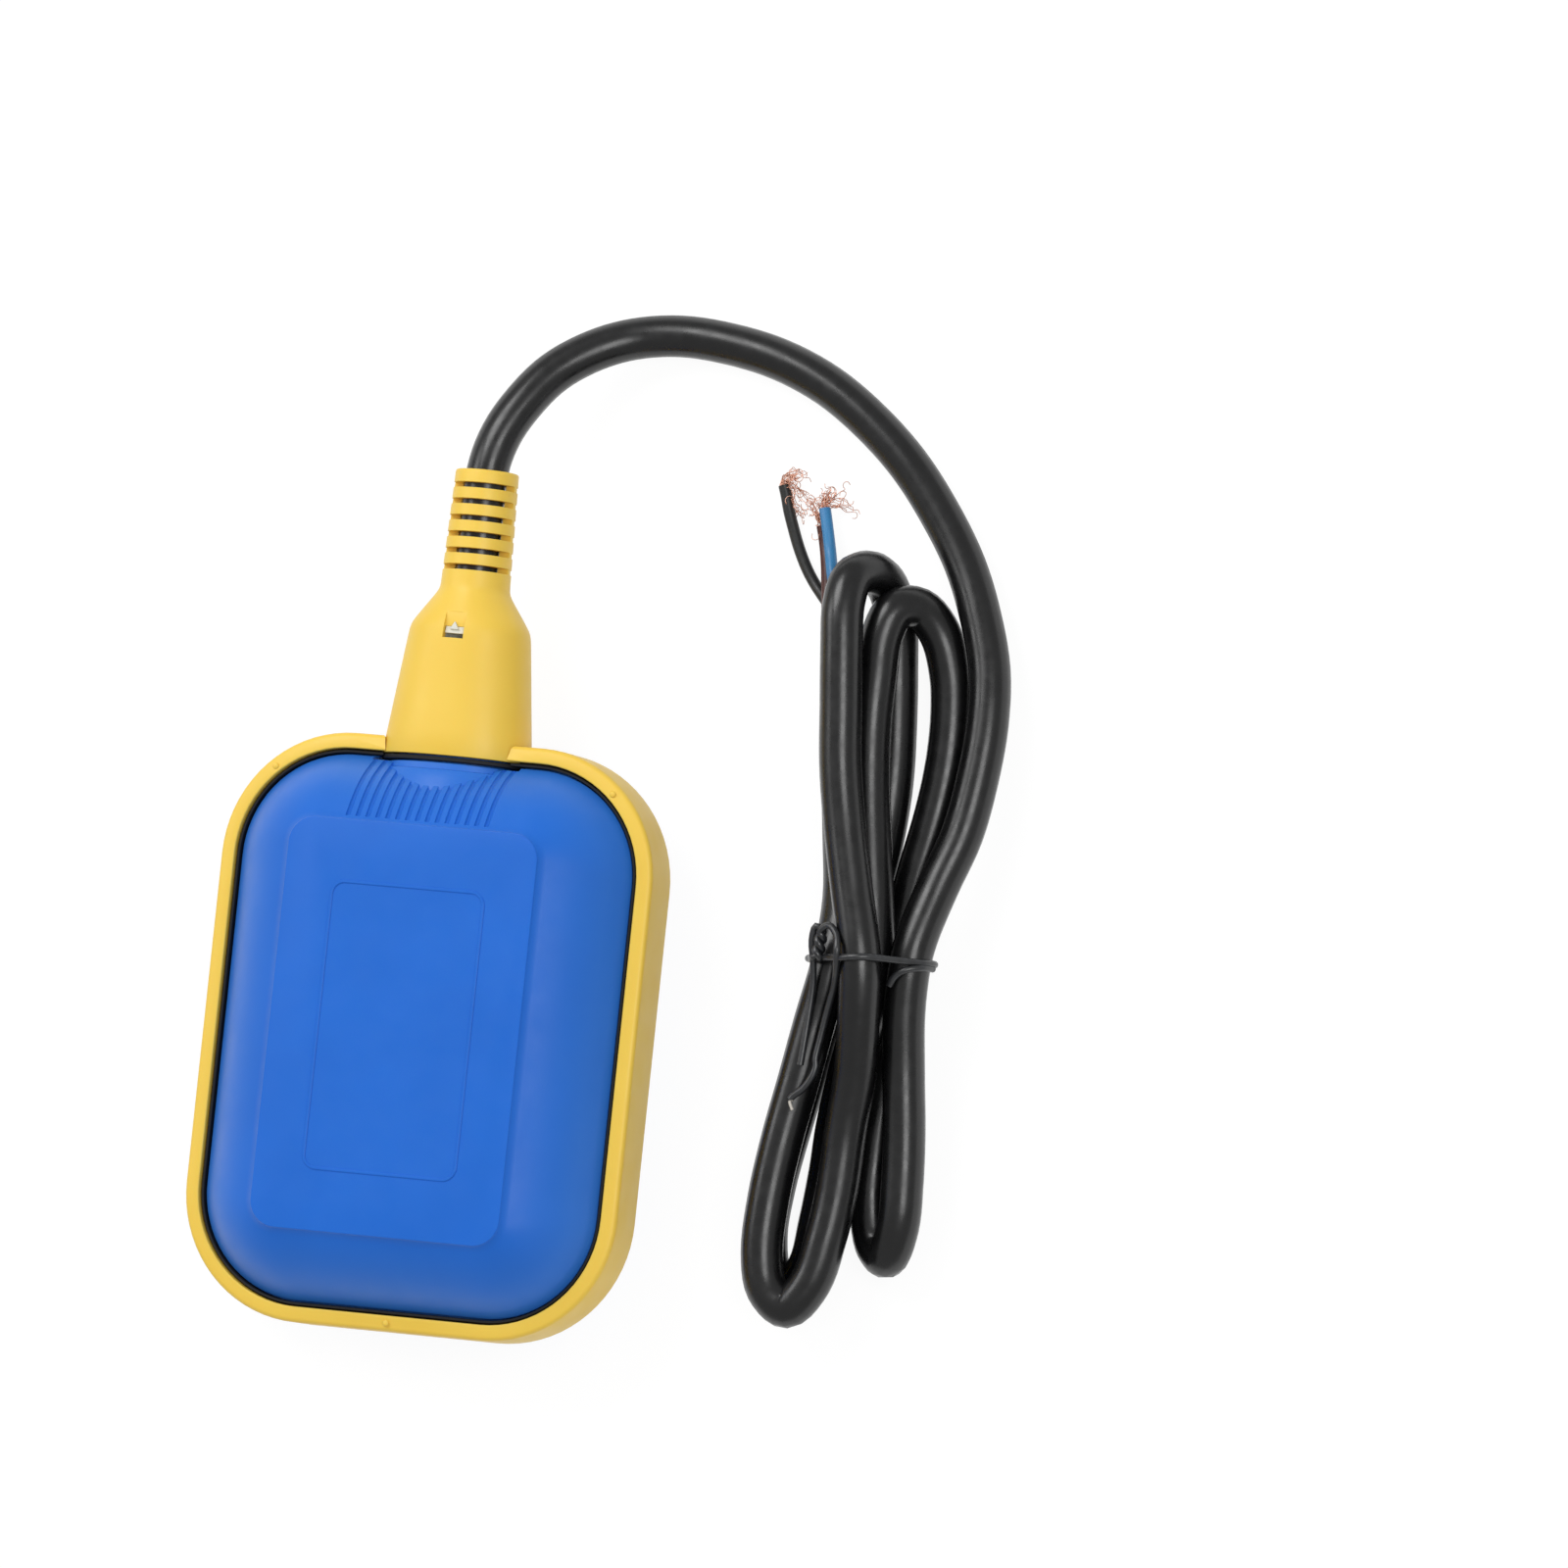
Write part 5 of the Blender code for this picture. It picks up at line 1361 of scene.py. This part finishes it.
    def hook(self) -> Item:
        """Latch hook of the front window: a block across the hole with a three-cornered nose.

        Returns:
            The hook.
        """
        start, middle = self.window_place - self.window_half_y + self.hook_setback, self.form.middle
        foot, top = self.hook_span
        hook = block("hook", (-self.hook_half_x, start, middle + foot),
                     (self.hook_half_x, start + self.hook_length, middle + top))
        with editing(hook):
            bm = bmesh.from_edit_mesh(hook.data)
            for point in bm.verts:
                if point.co.y > start + self.hook_length / 2 and point.co.z > middle + (foot + top) / 2:
                    point.co.z -= self.hook_fall
            bmesh.update_edit_mesh(hook.data)
        soften(hook, self.hook_edge, 25.0)
        bpy.ops.object.select_all(action="DESELECT")
        bpy.ops.mesh.primitive_cylinder_add(vertices=3, radius=self.nose_radius, depth=self.nose_thick,
                                            location=(0.0, start + self.nose_ahead, middle + self.nose_z))
        nose = bpy.context.object
        nose.name = "nose"
        bpy.ops.object.transform_apply(location=True, rotation=True, scale=True)
        soften(nose, self.nose_edge)
        shape(hook, nose, Cut.ON)
        return hook

    def build_insert(self) -> Item:
        """Nylon insert: plug in the collar, head under the hood and a hook for each window.

        Returns:
            The insert.
        """
        bore, middle = self.form.cable_bore, self.form.middle
        outside = [NeckRing(y * MM, x * MM, z * MM) for y, x, z in self.insert_rings]
        inside = [NeckRing(ring.y, bore, bore) for ring in (outside[-1], outside[0])]
        insert = bridge("insert", outside + inside, closed=True)
        rear = self.hook()
        rear.rotation_euler.y = math.pi
        rear.location.z = 2 * middle
        take(rear)
        bpy.ops.object.transform_apply(location=True, rotation=True, scale=True)
        for way, hook in ((1, self.hook()), (-1, rear)):
            low, high = sorted((middle + way * self.step_low[2], middle + way * self.step_high[2]))
            shape(insert, block("step", (*self.step_low[:2], low), (*self.step_high[:2], high)), Cut.OFF)
            shape(insert, hook, Cut.ON)
        return hand_over(insert, "gland_insert", NYLON, Role("natural_nylon", ("gland_body",)))


# The cable


@dataclass(frozen=True)
class Tuft:
    """Frayed copper at one core's end: hairs that leave it together, lie over in locks and curl.

    Attributes:
        root: Middle of the core's end, in millimetres.
        way: The core's direction there.
        locks: Where the locks of hair end.
        count: How many hairs.
        spread: How far the hairs part in a lock, in millimetres.
        seed: Seed of its chances.
        hair: Thickness of a hair in metres, more than a real strand's so that it shows.
        lowest: Height over the floor below which no hair goes, in millimetres.
        highest: Height above which none goes, in millimetres.
    """

    root: Point
    way: Point
    locks: tuple[Point, ...]
    count: int
    spread: float
    seed: int
    hair: float = 0.13 * MM
    lowest: float = 0.25
    highest: float = 4.5

    def scatter(self, chance: random.Random, reach: float) -> Vector:
        """A random step of at most this many millimetres, flatter in height."""
        return Vector((chance.uniform(-1, 1), chance.uniform(-1, 1), chance.uniform(-0.6, 0.6))) * reach

    def line(self, chance: random.Random) -> list[Vector]:
        """One hair, from inside the core to a curl at its end.

        Args:
            chance: The tuft's own chances.

        Returns:
            Its centreline, in metres.
        """
        root, way = Vector(self.root), Vector(self.way).normalized()
        end = Vector(chance.choice(self.locks)) + self.scatter(chance, 0.7 * self.spread)
        rise = root + way * chance.uniform(0.2, 1.9) + self.scatter(chance, 0.5)
        points = [root - way + self.scatter(chance, 0.5), root + way * 0.4 + self.scatter(chance, 0.75)]
        # Over into its lock, less and less in line with the others
        for share in (0.25, 0.5, 0.75, 1.0):
            bent = rise.lerp(end, share)
            points.append(bent + self.scatter(chance, self.spread * (0.45 + 0.4 * share)))
        # A curl at its end
        radius, turn = chance.uniform(0.3, 0.9), chance.uniform(0, 2 * math.pi)
        sense = chance.choice((-1, 1))
        for step in range(1, chance.randint(2, 5)):
            angle = turn + sense * step
            curl = Vector((math.cos(angle), math.sin(angle), chance.uniform(-0.3, 0.3)))
            points.append(points[-1] + curl * radius)
        for point in points:
            point.z = min(max(point.z, self.lowest), self.highest)
        return through([point * MM for point in points], 4)

    def build(self, colour: str) -> Item:
        """All hairs of the tuft as one piece.

        Args:
            colour: The core's name.

        Returns:
            The tuft.
        """
        chance = random.Random(self.seed)
        hairs = tube(f"tuft_{colour}", [self.line(chance) for _ in range(self.count)], self.hair, 1)
        return hand_over(as_mesh(hairs), f"copper_{colour}", COPPER, Role("copper", (f"strands_{colour}",)),
                         smooth=70.0)


@dataclass(frozen=True)
class Tie:
    """Covered wire round the hank's waist: it hugs the cables, and its ends are twisted together.

    Points are in millimetres. The strands are the middles of the cables that it goes round.
    """

    diameter: float = 1.3 * MM
    core: float = 0.6 * MM
    y: float = 21.4 * MM
    reach: float = 4.5 * MM
    wave: float = 0.5 * MM
    floor_gap: float = 0.02 * MM
    twist_radius: float = 0.6 * MM
    twist_turns: float = 1.3
    twist_steps: int = 12
    wrap_start: float = math.radians(137)
    wrap_steps: int = 64
    strands: tuple[tuple[float, float], ...] = (
        (89.7, 13.7), (83.2, 5.0), (82.2, 12.4), (75.6, 5.0), (82.2, 20.1), (74.6, 12.8))
    knot: tuple[Point, Point] = ((73.9, 20.9, 19.7), (74.6, 25.6, 20.9))
    tail_out: tuple[Point, ...] = (
        (76.2, 26.9, 22.2), (78.2, 25.2, 23.2), (79, 21.8, 24.3), (77.7, 16.6, 19.6), (76.3, 12, 17.8),
        (75.1, 6, 17), (74.6, 2.6, 16.9), (74.8, 1.4, 16.9), (74.3, -0.5, 16.9), (72.8, -2.9, 16.8),
        (71, -4.4, 16.7), (70.5, -5.1, 16.7))
    bare: tuple[Point, ...] = ((70.6, -4.9, 16.7), (70.5, -5.6, 16.7), (71.1, -7.0, 16.6))
    tail_in: tuple[Point, ...] = (
        (73.4, 26.6, 20.8), (72.6, 24.0, 20.0), (72.8, 20.4, 18.7), (72.9, 16.2, 17.6), (72.5, 10.4, 17.1),
        (72.1, 5.0, 16.9), (71.8, 1.3, 16.8))
    cross: tuple[Point, ...] = (
        (94.1, 21.0, 13.6), (93.3, 20.9, 16.6), (90.4, 20.1, 18.6), (88.5, 18.8, 18.2), (87.4, 17.2, 17.4))

    def wrap(self) -> list[Vector]:
        """Line round the bundle: in each direction it lies on the strand that reaches furthest.

        Returns:
            The closed line, in metres.
        """
        line = []
        for step in range(self.wrap_steps + 1):
            angle = self.wrap_start - 2 * math.pi * step / self.wrap_steps
            way = Vector((math.cos(angle), math.sin(angle)))
            strand = max(self.strands, key=lambda place: Vector(place).dot(way))
            spot = Vector(strand) * MM + way * self.reach
            lowest = self.diameter / 2 + self.floor_gap
            line.append(Vector((spot.x, self.y + self.wave * math.cos(angle), max(spot.y, lowest))))
        return line

    def twisted(self, phase: float) -> list[Vector]:
        """One of the two wires that turn round each other in the knot.

        Args:
            phase: Angle at which it starts.

        Returns:
            Its line, in metres.
        """
        low, high = in_metres(self.knot)
        along = (high - low).normalized()
        side = along.cross(Vector((0.0, 0.0, 1.0))).normalized()
        front = side.cross(along)
        line = []
        for step in range(self.twist_steps + 1):
            turn = phase + 2 * math.pi * self.twist_turns * step / self.twist_steps
            out = (side * math.cos(turn) + front * math.sin(turn)) * self.twist_radius
            line.append(low.lerp(high, step / self.twist_steps) + out)
        return line

    def build(self) -> Item:
        """The wrap, the knot and the tails as bent wire, with the wire bare at one end.

        Returns:
            The tie.
        """
        wrap = self.wrap()
        lines = [
            through([wrap[0], *self.twisted(math.pi), *in_metres(self.tail_in)], 3),
            wrap,
            through([wrap[-1], *self.twisted(0.0), *in_metres(self.tail_out)], 3),
            through(in_metres(self.cross), 5),
        ]
        jacket = as_mesh(tube("tie", lines, self.diameter, 3))
        end = as_mesh(tube("tie_end", [through(in_metres(self.bare), 5)], self.core, 2))
        return hand_over(joined([jacket, end]), "hank_wire_tie", TIE_JACKET, Role("tie_wire", ("hank_tie",)),
                         smooth=60.0)


@dataclass
class Cable:
    """The whole cable: out of the hood, over in an arch and tied in a figure-of-eight hank.

    Points are in millimetres, along the middle of the cable or core.
    """

    diameter: float = 7.8 * MM
    length: float = 0.952
    lead: tuple[Point, ...] = (
        (0, 80, 18.5), (0, 92, 18.5), (0, 105, 18.5), (1.6, 112.1, 17.6), (4.7, 118.7, 15.5),
        (8.8, 124.7, 12.5), (14.9, 129.6, 9), (21.4, 132.5, 6.2), (29.9, 133.8, 4.6),
        (39.4, 133.1, 4.1), (49.4, 130.9, 4),
        (59.3, 126.7, 4), (68.3, 120.6, 4), (76.3, 113.4, 4), (83.3, 104.8, 4), (89.3, 95.7, 4.5),
        (93.7, 86.1, 5.5), (96.7, 76.6, 6.5), (97.7, 66.6, 7.5), (97.2, 56.6, 8.4), (95.7, 46.1, 9.5),
        (92.7, 36.2, 11.2), (90.4, 26.8, 13.2))
    hank: tuple[Point, ...] = (
        (89.7, 21.8, 13.7), (89.2, 12.8, 12.7), (89.7, 2.3, 11), (90.7, -8.7, 10), (91.2, -18.2, 9.5),
        (91, -26.2, 8.8), (88.7, -31.7, 6.6), (85.7, -29.6, 4.4), (83.7, -21.6, 4), (83.7, -11.6, 4),
        (84.2, -0.6, 4), (83.7, 10.4, 4.2), (83.2, 21.9, 5), (85, 30.8, 4.5), (86.5, 39.8, 4.1),
        (88.4, 49.7, 4), (89.5, 59.2, 4), (89.5, 68.2, 4), (88.5, 75.7, 4.2),
        (86.1, 82.8, 5.4), (82.6, 86.8, 8.4),
        (79.2, 85.9, 11.6), (77.5, 81, 12.6), (77, 73.5, 12), (76.9, 64.5, 11.7), (77.7, 54, 11.7),
        (79.5, 41.5, 12), (81.2, 30.5, 12.3), (82.2, 21.9, 12.4), (81, 11.5, 10.6), (77.8, 1, 6.4),
        (75.9, -8.9, 4.4), (75.3, -17.4, 4), (74.4, -26.4, 4), (73.1, -34.9, 4), (69.7, -39.5, 4),
        (66.1, -36.7, 4), (64.5, -29.7, 4), (65.1, -20.7, 4), (66.8, -10.8, 4), (69.1, 0.2, 4),
        (71.9, 11.1, 4.4), (75.6, 22, 5), (77.1, 32, 4.4), (78.9, 43.9, 4), (79.6, 54.9, 4), (79.1, 65.9, 4),
        (78.2, 75.9, 4), (77.3, 83.9, 4.4), (75.9, 90.3, 7.4), (74.1, 92.4, 12.6), (72.1, 90.7, 17),
        (71.6, 85.6, 19), (72.2, 78.1, 19.4), (73.2, 67.1, 19.2), (74.2, 56.6, 19), (76.2, 45.6, 19),
        (78.7, 35, 19.4), (82.2, 21, 20.1), (82.4, 11.5, 18.3), (81.8, 1, 15), (80.4, -9.5, 12.8),
        (79.7, -20.5, 12), (78.5, -29.4, 12), (76.4, -37.9, 12), (72.4, -42.7, 12), (68.4, -39.9, 12),
        (66.6, -33.2, 12), (66.8, -23.2, 12), (68.2, -12.2, 12), (70.2, -1.3, 12), (72.2, 9.7, 12.2),
        (74.6, 21.1, 12.8), (74.2, 32.6, 9.2), (71.6, 44.6, 5.4), (69.8, 55.6, 4.1), (69.3, 66.6, 4),
        (68.8, 75.1, 4), (66.9, 82.1, 4))
    core_diameter: float = 2.2 * MM
    cores: dict[str, tuple[Point, ...]] = field(default_factory=lambda: {
        "black": (
            (65.9, 79.5, 2.8), (65.7, 82.4, 2.6), (64.4, 85.2, 2.4), (61.9, 88, 2.1), (59.6, 90.6, 1.6),
            (57.8, 93.2, 1.4), (55.9, 96.8, 1.3), (54.4, 100.4, 1.3), (53.3, 103.4, 1.4),
            (52.5, 106.2, 1.5), (51.9, 108, 1.6)),
        "brown": (
            (64.9, 79.5, 4.9), (64.3, 82.5, 5), (63.9, 85.2, 4.9), (63.2, 88.7, 4.1), (62.3, 92.5, 2.7),
            (61.3, 96.2, 1.5), (60.6, 98.9, 1.25), (60, 101.1, 1.3)),
        "blue": (
            (66.8, 79.5, 5.7), (66.4, 82.5, 6.3), (65.9, 85.7, 6), (64.9, 89.2, 5.2), (63.8, 92.7, 4.3),
            (62.7, 96.2, 3.1), (61.7, 100.2, 2.9), (60.6, 104.2, 2.6)),
    })
    tufts: dict[str, Tuft] = field(default_factory=lambda: {
        "black": Tuft(
            (51.9, 108, 1.6), (-0.3, 0.95, 0.05),
            ((54.6, 110.4, 2.2), (54.4, 108.6, 2.4), (55.8, 106.8, 2), (55.2, 104.6, 2.2),
             (56.8, 105.8, 1.8), (55.6, 101.8, 1.4)), count=32, spread=1.1, seed=4),
        "brown": Tuft(
            (60, 101.1, 1.3), (-0.25, 0.97, 0.05),
            ((58, 104.6, 1.8), (58.8, 103.2, 2.2), (57.4, 106, 1.8), (59.4, 105, 2.4), (60, 99, 3)),
            count=22, spread=0.9, seed=9),
        "blue": Tuft(
            (60.6, 104.2, 2.6), (-0.2, 0.97, 0.0),
            ((61.2, 107.4, 2.6), (60.6, 106.6, 2.8), (61.8, 106.8, 2.2), (63.6, 105.8, 2),
             (64.8, 104.4, 1.4), (63.8, 107, 1.8)), count=28, spread=1.0, seed=21),
    })

    def build(self) -> list[Item]:
        """Sheath, cores, copper and tie.

        Returns:
            The pieces, the sheath first.
        """
        line = through(in_metres(self.lead + self.hank), 5)
        sheath = hand_over(tube("cable", [line], self.diameter), "cable_sheath", SHEATH,
                           Role("cable_pvc", ("cable_lead", "cable_hank")))
        extras = []
        for colour, route in self.cores.items():
            core = as_mesh(tube(f"core_{colour}", [through(in_metres(route), 5)], self.core_diameter))
            role = Role(f"wire_{colour}", (f"core_{colour}",))
            extras += [hand_over(core, f"wire_{colour}", CORE_FINISHES[colour], role),
                       self.tufts[colour].build(colour)]
        extras.append(Tie().build())
        return [sheath, *extras]


# What stays as packed


class Dresser:
    """Gives each CAD node that still shows a finish of its own."""

    FINISHES = {
        "cable_bush": RUBBER, "capsule_body": GREY_ABS, "capsule_lid": GREY_ABS,
        **{f"capsule_screw_{number}": PLATED_STEEL for number in (1, 2, 3, 4)},
        "steel_ball": BALL_STEEL, "ball_lever": PLATED_STEEL, "lever_pin": PLATED_STEEL,
        "switch_case": PHENOLIC, "switch_plunger": NYLON,
        **{f"terminal_{contact}": BRASS for contact in ("common", "open", "closed")},
        **{f"lead_{colour}": finish for colour, finish in CORE_FINISHES.items()},
    }

    def build(self) -> None:
        """Dress the nodes."""
        for name, finish in self.FINISHES.items():
            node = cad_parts[name]
            node.data.materials.clear()
            node.data.materials.append(finish.material())
            LOG.info("%s dressed in %s", name, finish.name)


@dataclass
class Studio:
    """Pale floor, soft lights and the camera of the photograph.

    A light is given by its name, its place, its size in metres and its watts.
    """

    turn: float = math.radians(18.73)
    lift: float = math.radians(3.43)
    roll: float = math.radians(5.98)
    distance: float = 2.4
    middle: Point = (0.0, 0.0, 18.5 * MM)
    view_width: float = 288.03 * MM
    aim_right: float = 65.48 * MM
    aim_up: float = 46.58 * MM
    clip: tuple[float, float] = (0.1, 20.0)
    world_light: float = 0.43
    lit_point: Vector = field(default_factory=lambda: Vector((0.03, 0.04, 0.0)))
    floor_size: float = 6.0
    floor_drop: float = 0.05 * MM
    paper: str = "f2f2f2"
    paper_glow: float = 1.06
    paper_glow_share: float = 0.87
    lights: tuple[tuple[str, Point, float, float], ...] = (
        ("top_light", (-0.42, 0.72, 1.0), 0.6, 6.4),
        ("left_light", (-1.0, 0.3, 0.8), 0.45, 2.2),
        ("right_light", (0.71, 0.08, 1.13), 0.55, 5.2),
    )

    def build(self) -> None:
        """Set the floor, the world, the lamps and the camera."""
        self.add_floor()
        self.set_world()
        for name, place, size, power in self.lights:
            lamp = bpy.data.lights.new(name, "AREA")
            lamp.size = size
            lamp.energy = power
            item = bpy.data.objects.new(name, lamp)
            item.location = place
            item.rotation_euler = (self.lit_point - Vector(place)).to_track_quat("-Z", "Y").to_euler()
            bpy.context.scene.collection.objects.link(item)
        self.add_camera()
        bpy.context.scene.view_settings.view_transform = "Standard"

    def white_where_seen(self, owner: Material | World, plain: Socket, white: Socket,
                         also: Sequence[str], most: float) -> Socket:
        """White to the camera and to some other rays, and the plain surface to the rest of the light.

        Args:
            owner: The floor's material or the world.
            plain: The plain surface.
            white: The white one.
            also: Light Path's names of the other rays.
            most: Share of white that they all see.

        Returns:
            The mixed surface.
        """
        rays = add_node(owner, "ShaderNodeLightPath").outputs
        total = rays["Is Camera Ray"]
        for name in also:
            either = add_node(owner, "ShaderNodeMath", {0: total, 1: rays[name]}, operation="MAXIMUM")
            total = either.outputs[0]
        share = add_node(owner, "ShaderNodeMath", {0: total, 1: most}, operation="MULTIPLY").outputs[0]
        return add_node(owner, "ShaderNodeMixShader", {0: share, 1: plain, 2: white}).outputs[0]

    def add_floor(self) -> None:
        """White sweep of paper under the part, which keeps a soft shadow."""
        bpy.ops.object.select_all(action="DESELECT")
        bpy.ops.mesh.primitive_plane_add(size=self.floor_size, location=(0.0, 0.0, -self.floor_drop))
        floor = bpy.context.object
        floor.name = "studio_floor"
        material = bpy.data.materials.new("white_paper")
        material.use_nodes = True
        nodes = material.node_tree.nodes
        nodes.remove(nodes["Principled BSDF"])
        paper = add_node(material, "ShaderNodeBsdfDiffuse", {"Color": tint(self.paper)})
        glow = add_node(material, "ShaderNodeEmission", {"Strength": self.paper_glow})
        shown = self.white_where_seen(material, paper.outputs[0], glow.outputs[0],
                                      ("Is Glossy Ray", "Is Transmission Ray"), self.paper_glow_share)
        material.node_tree.links.new(shown, nodes["Material Output"].inputs["Surface"])
        floor.data.materials.append(material)

    def set_world(self) -> None:
        """Even pale light from all round, white to the camera."""
        world = bpy.data.worlds.new("soft_room")
        bpy.context.scene.world = world
        world.use_nodes = True
        nodes = world.node_tree.nodes
        room = nodes["Background"]
        room.inputs["Color"].default_value = tint("ffffff")
        room.inputs["Strength"].default_value = self.world_light
        white = add_node(world, "ShaderNodeBackground", {"Color": tint("ffffff")})
        shown = self.white_where_seen(world, room.outputs[0], white.outputs[0], ("Is Transmission Ray",), 1.0)
        world.node_tree.links.new(shown, nodes["World Output"].inputs["Surface"])

    def add_camera(self) -> None:
        """Camera of the photograph: nearly flat perspective, leaning a little to the left."""
        back = Vector((math.sin(self.turn) * math.cos(self.lift), -math.sin(self.lift),
                       math.cos(self.turn) * math.cos(self.lift)))
        across = Vector((math.cos(self.turn), 0.0, -math.sin(self.turn)))
        upward = back.cross(across)
        right = math.cos(self.roll) * across + math.sin(self.roll) * upward
        upright = -math.sin(self.roll) * across + math.cos(self.roll) * upward
        aim = Vector(self.middle) + self.aim_right * right + self.aim_up * upright
        lens = bpy.data.cameras.new("photo_camera")
        lens.lens = lens.sensor_width * self.distance / self.view_width
        lens.clip_start, lens.clip_end = self.clip
        camera = bpy.data.objects.new("photo_camera", lens)
        bpy.context.scene.collection.objects.link(camera)
        camera.matrix_world = Matrix.LocRotScale(
            aim + back * self.distance, Matrix((right, upright, back)).transposed(), None)
        bpy.context.scene.camera = camera


def main() -> None:
    """Build every sub-assembly in order."""
    logging.basicConfig(level=logging.INFO, format="%(message)s")
    form = FloatForm()
    Cable().build()
    band = Band(form)
    band.build()
    band.build_seal()
    shells = Shells(form)
    shells.build(Side.FRONT, "float_shell_front", "front_shell")
    shells.build(Side.REAR, "float_shell_rear", "rear_shell")
    neck = Neck(form)
    neck.build_hood()
    neck.build_gasket()
    neck.build_insert()
    Dresser().build()
    Studio().build()


if __name__ == "__main__":
    main()
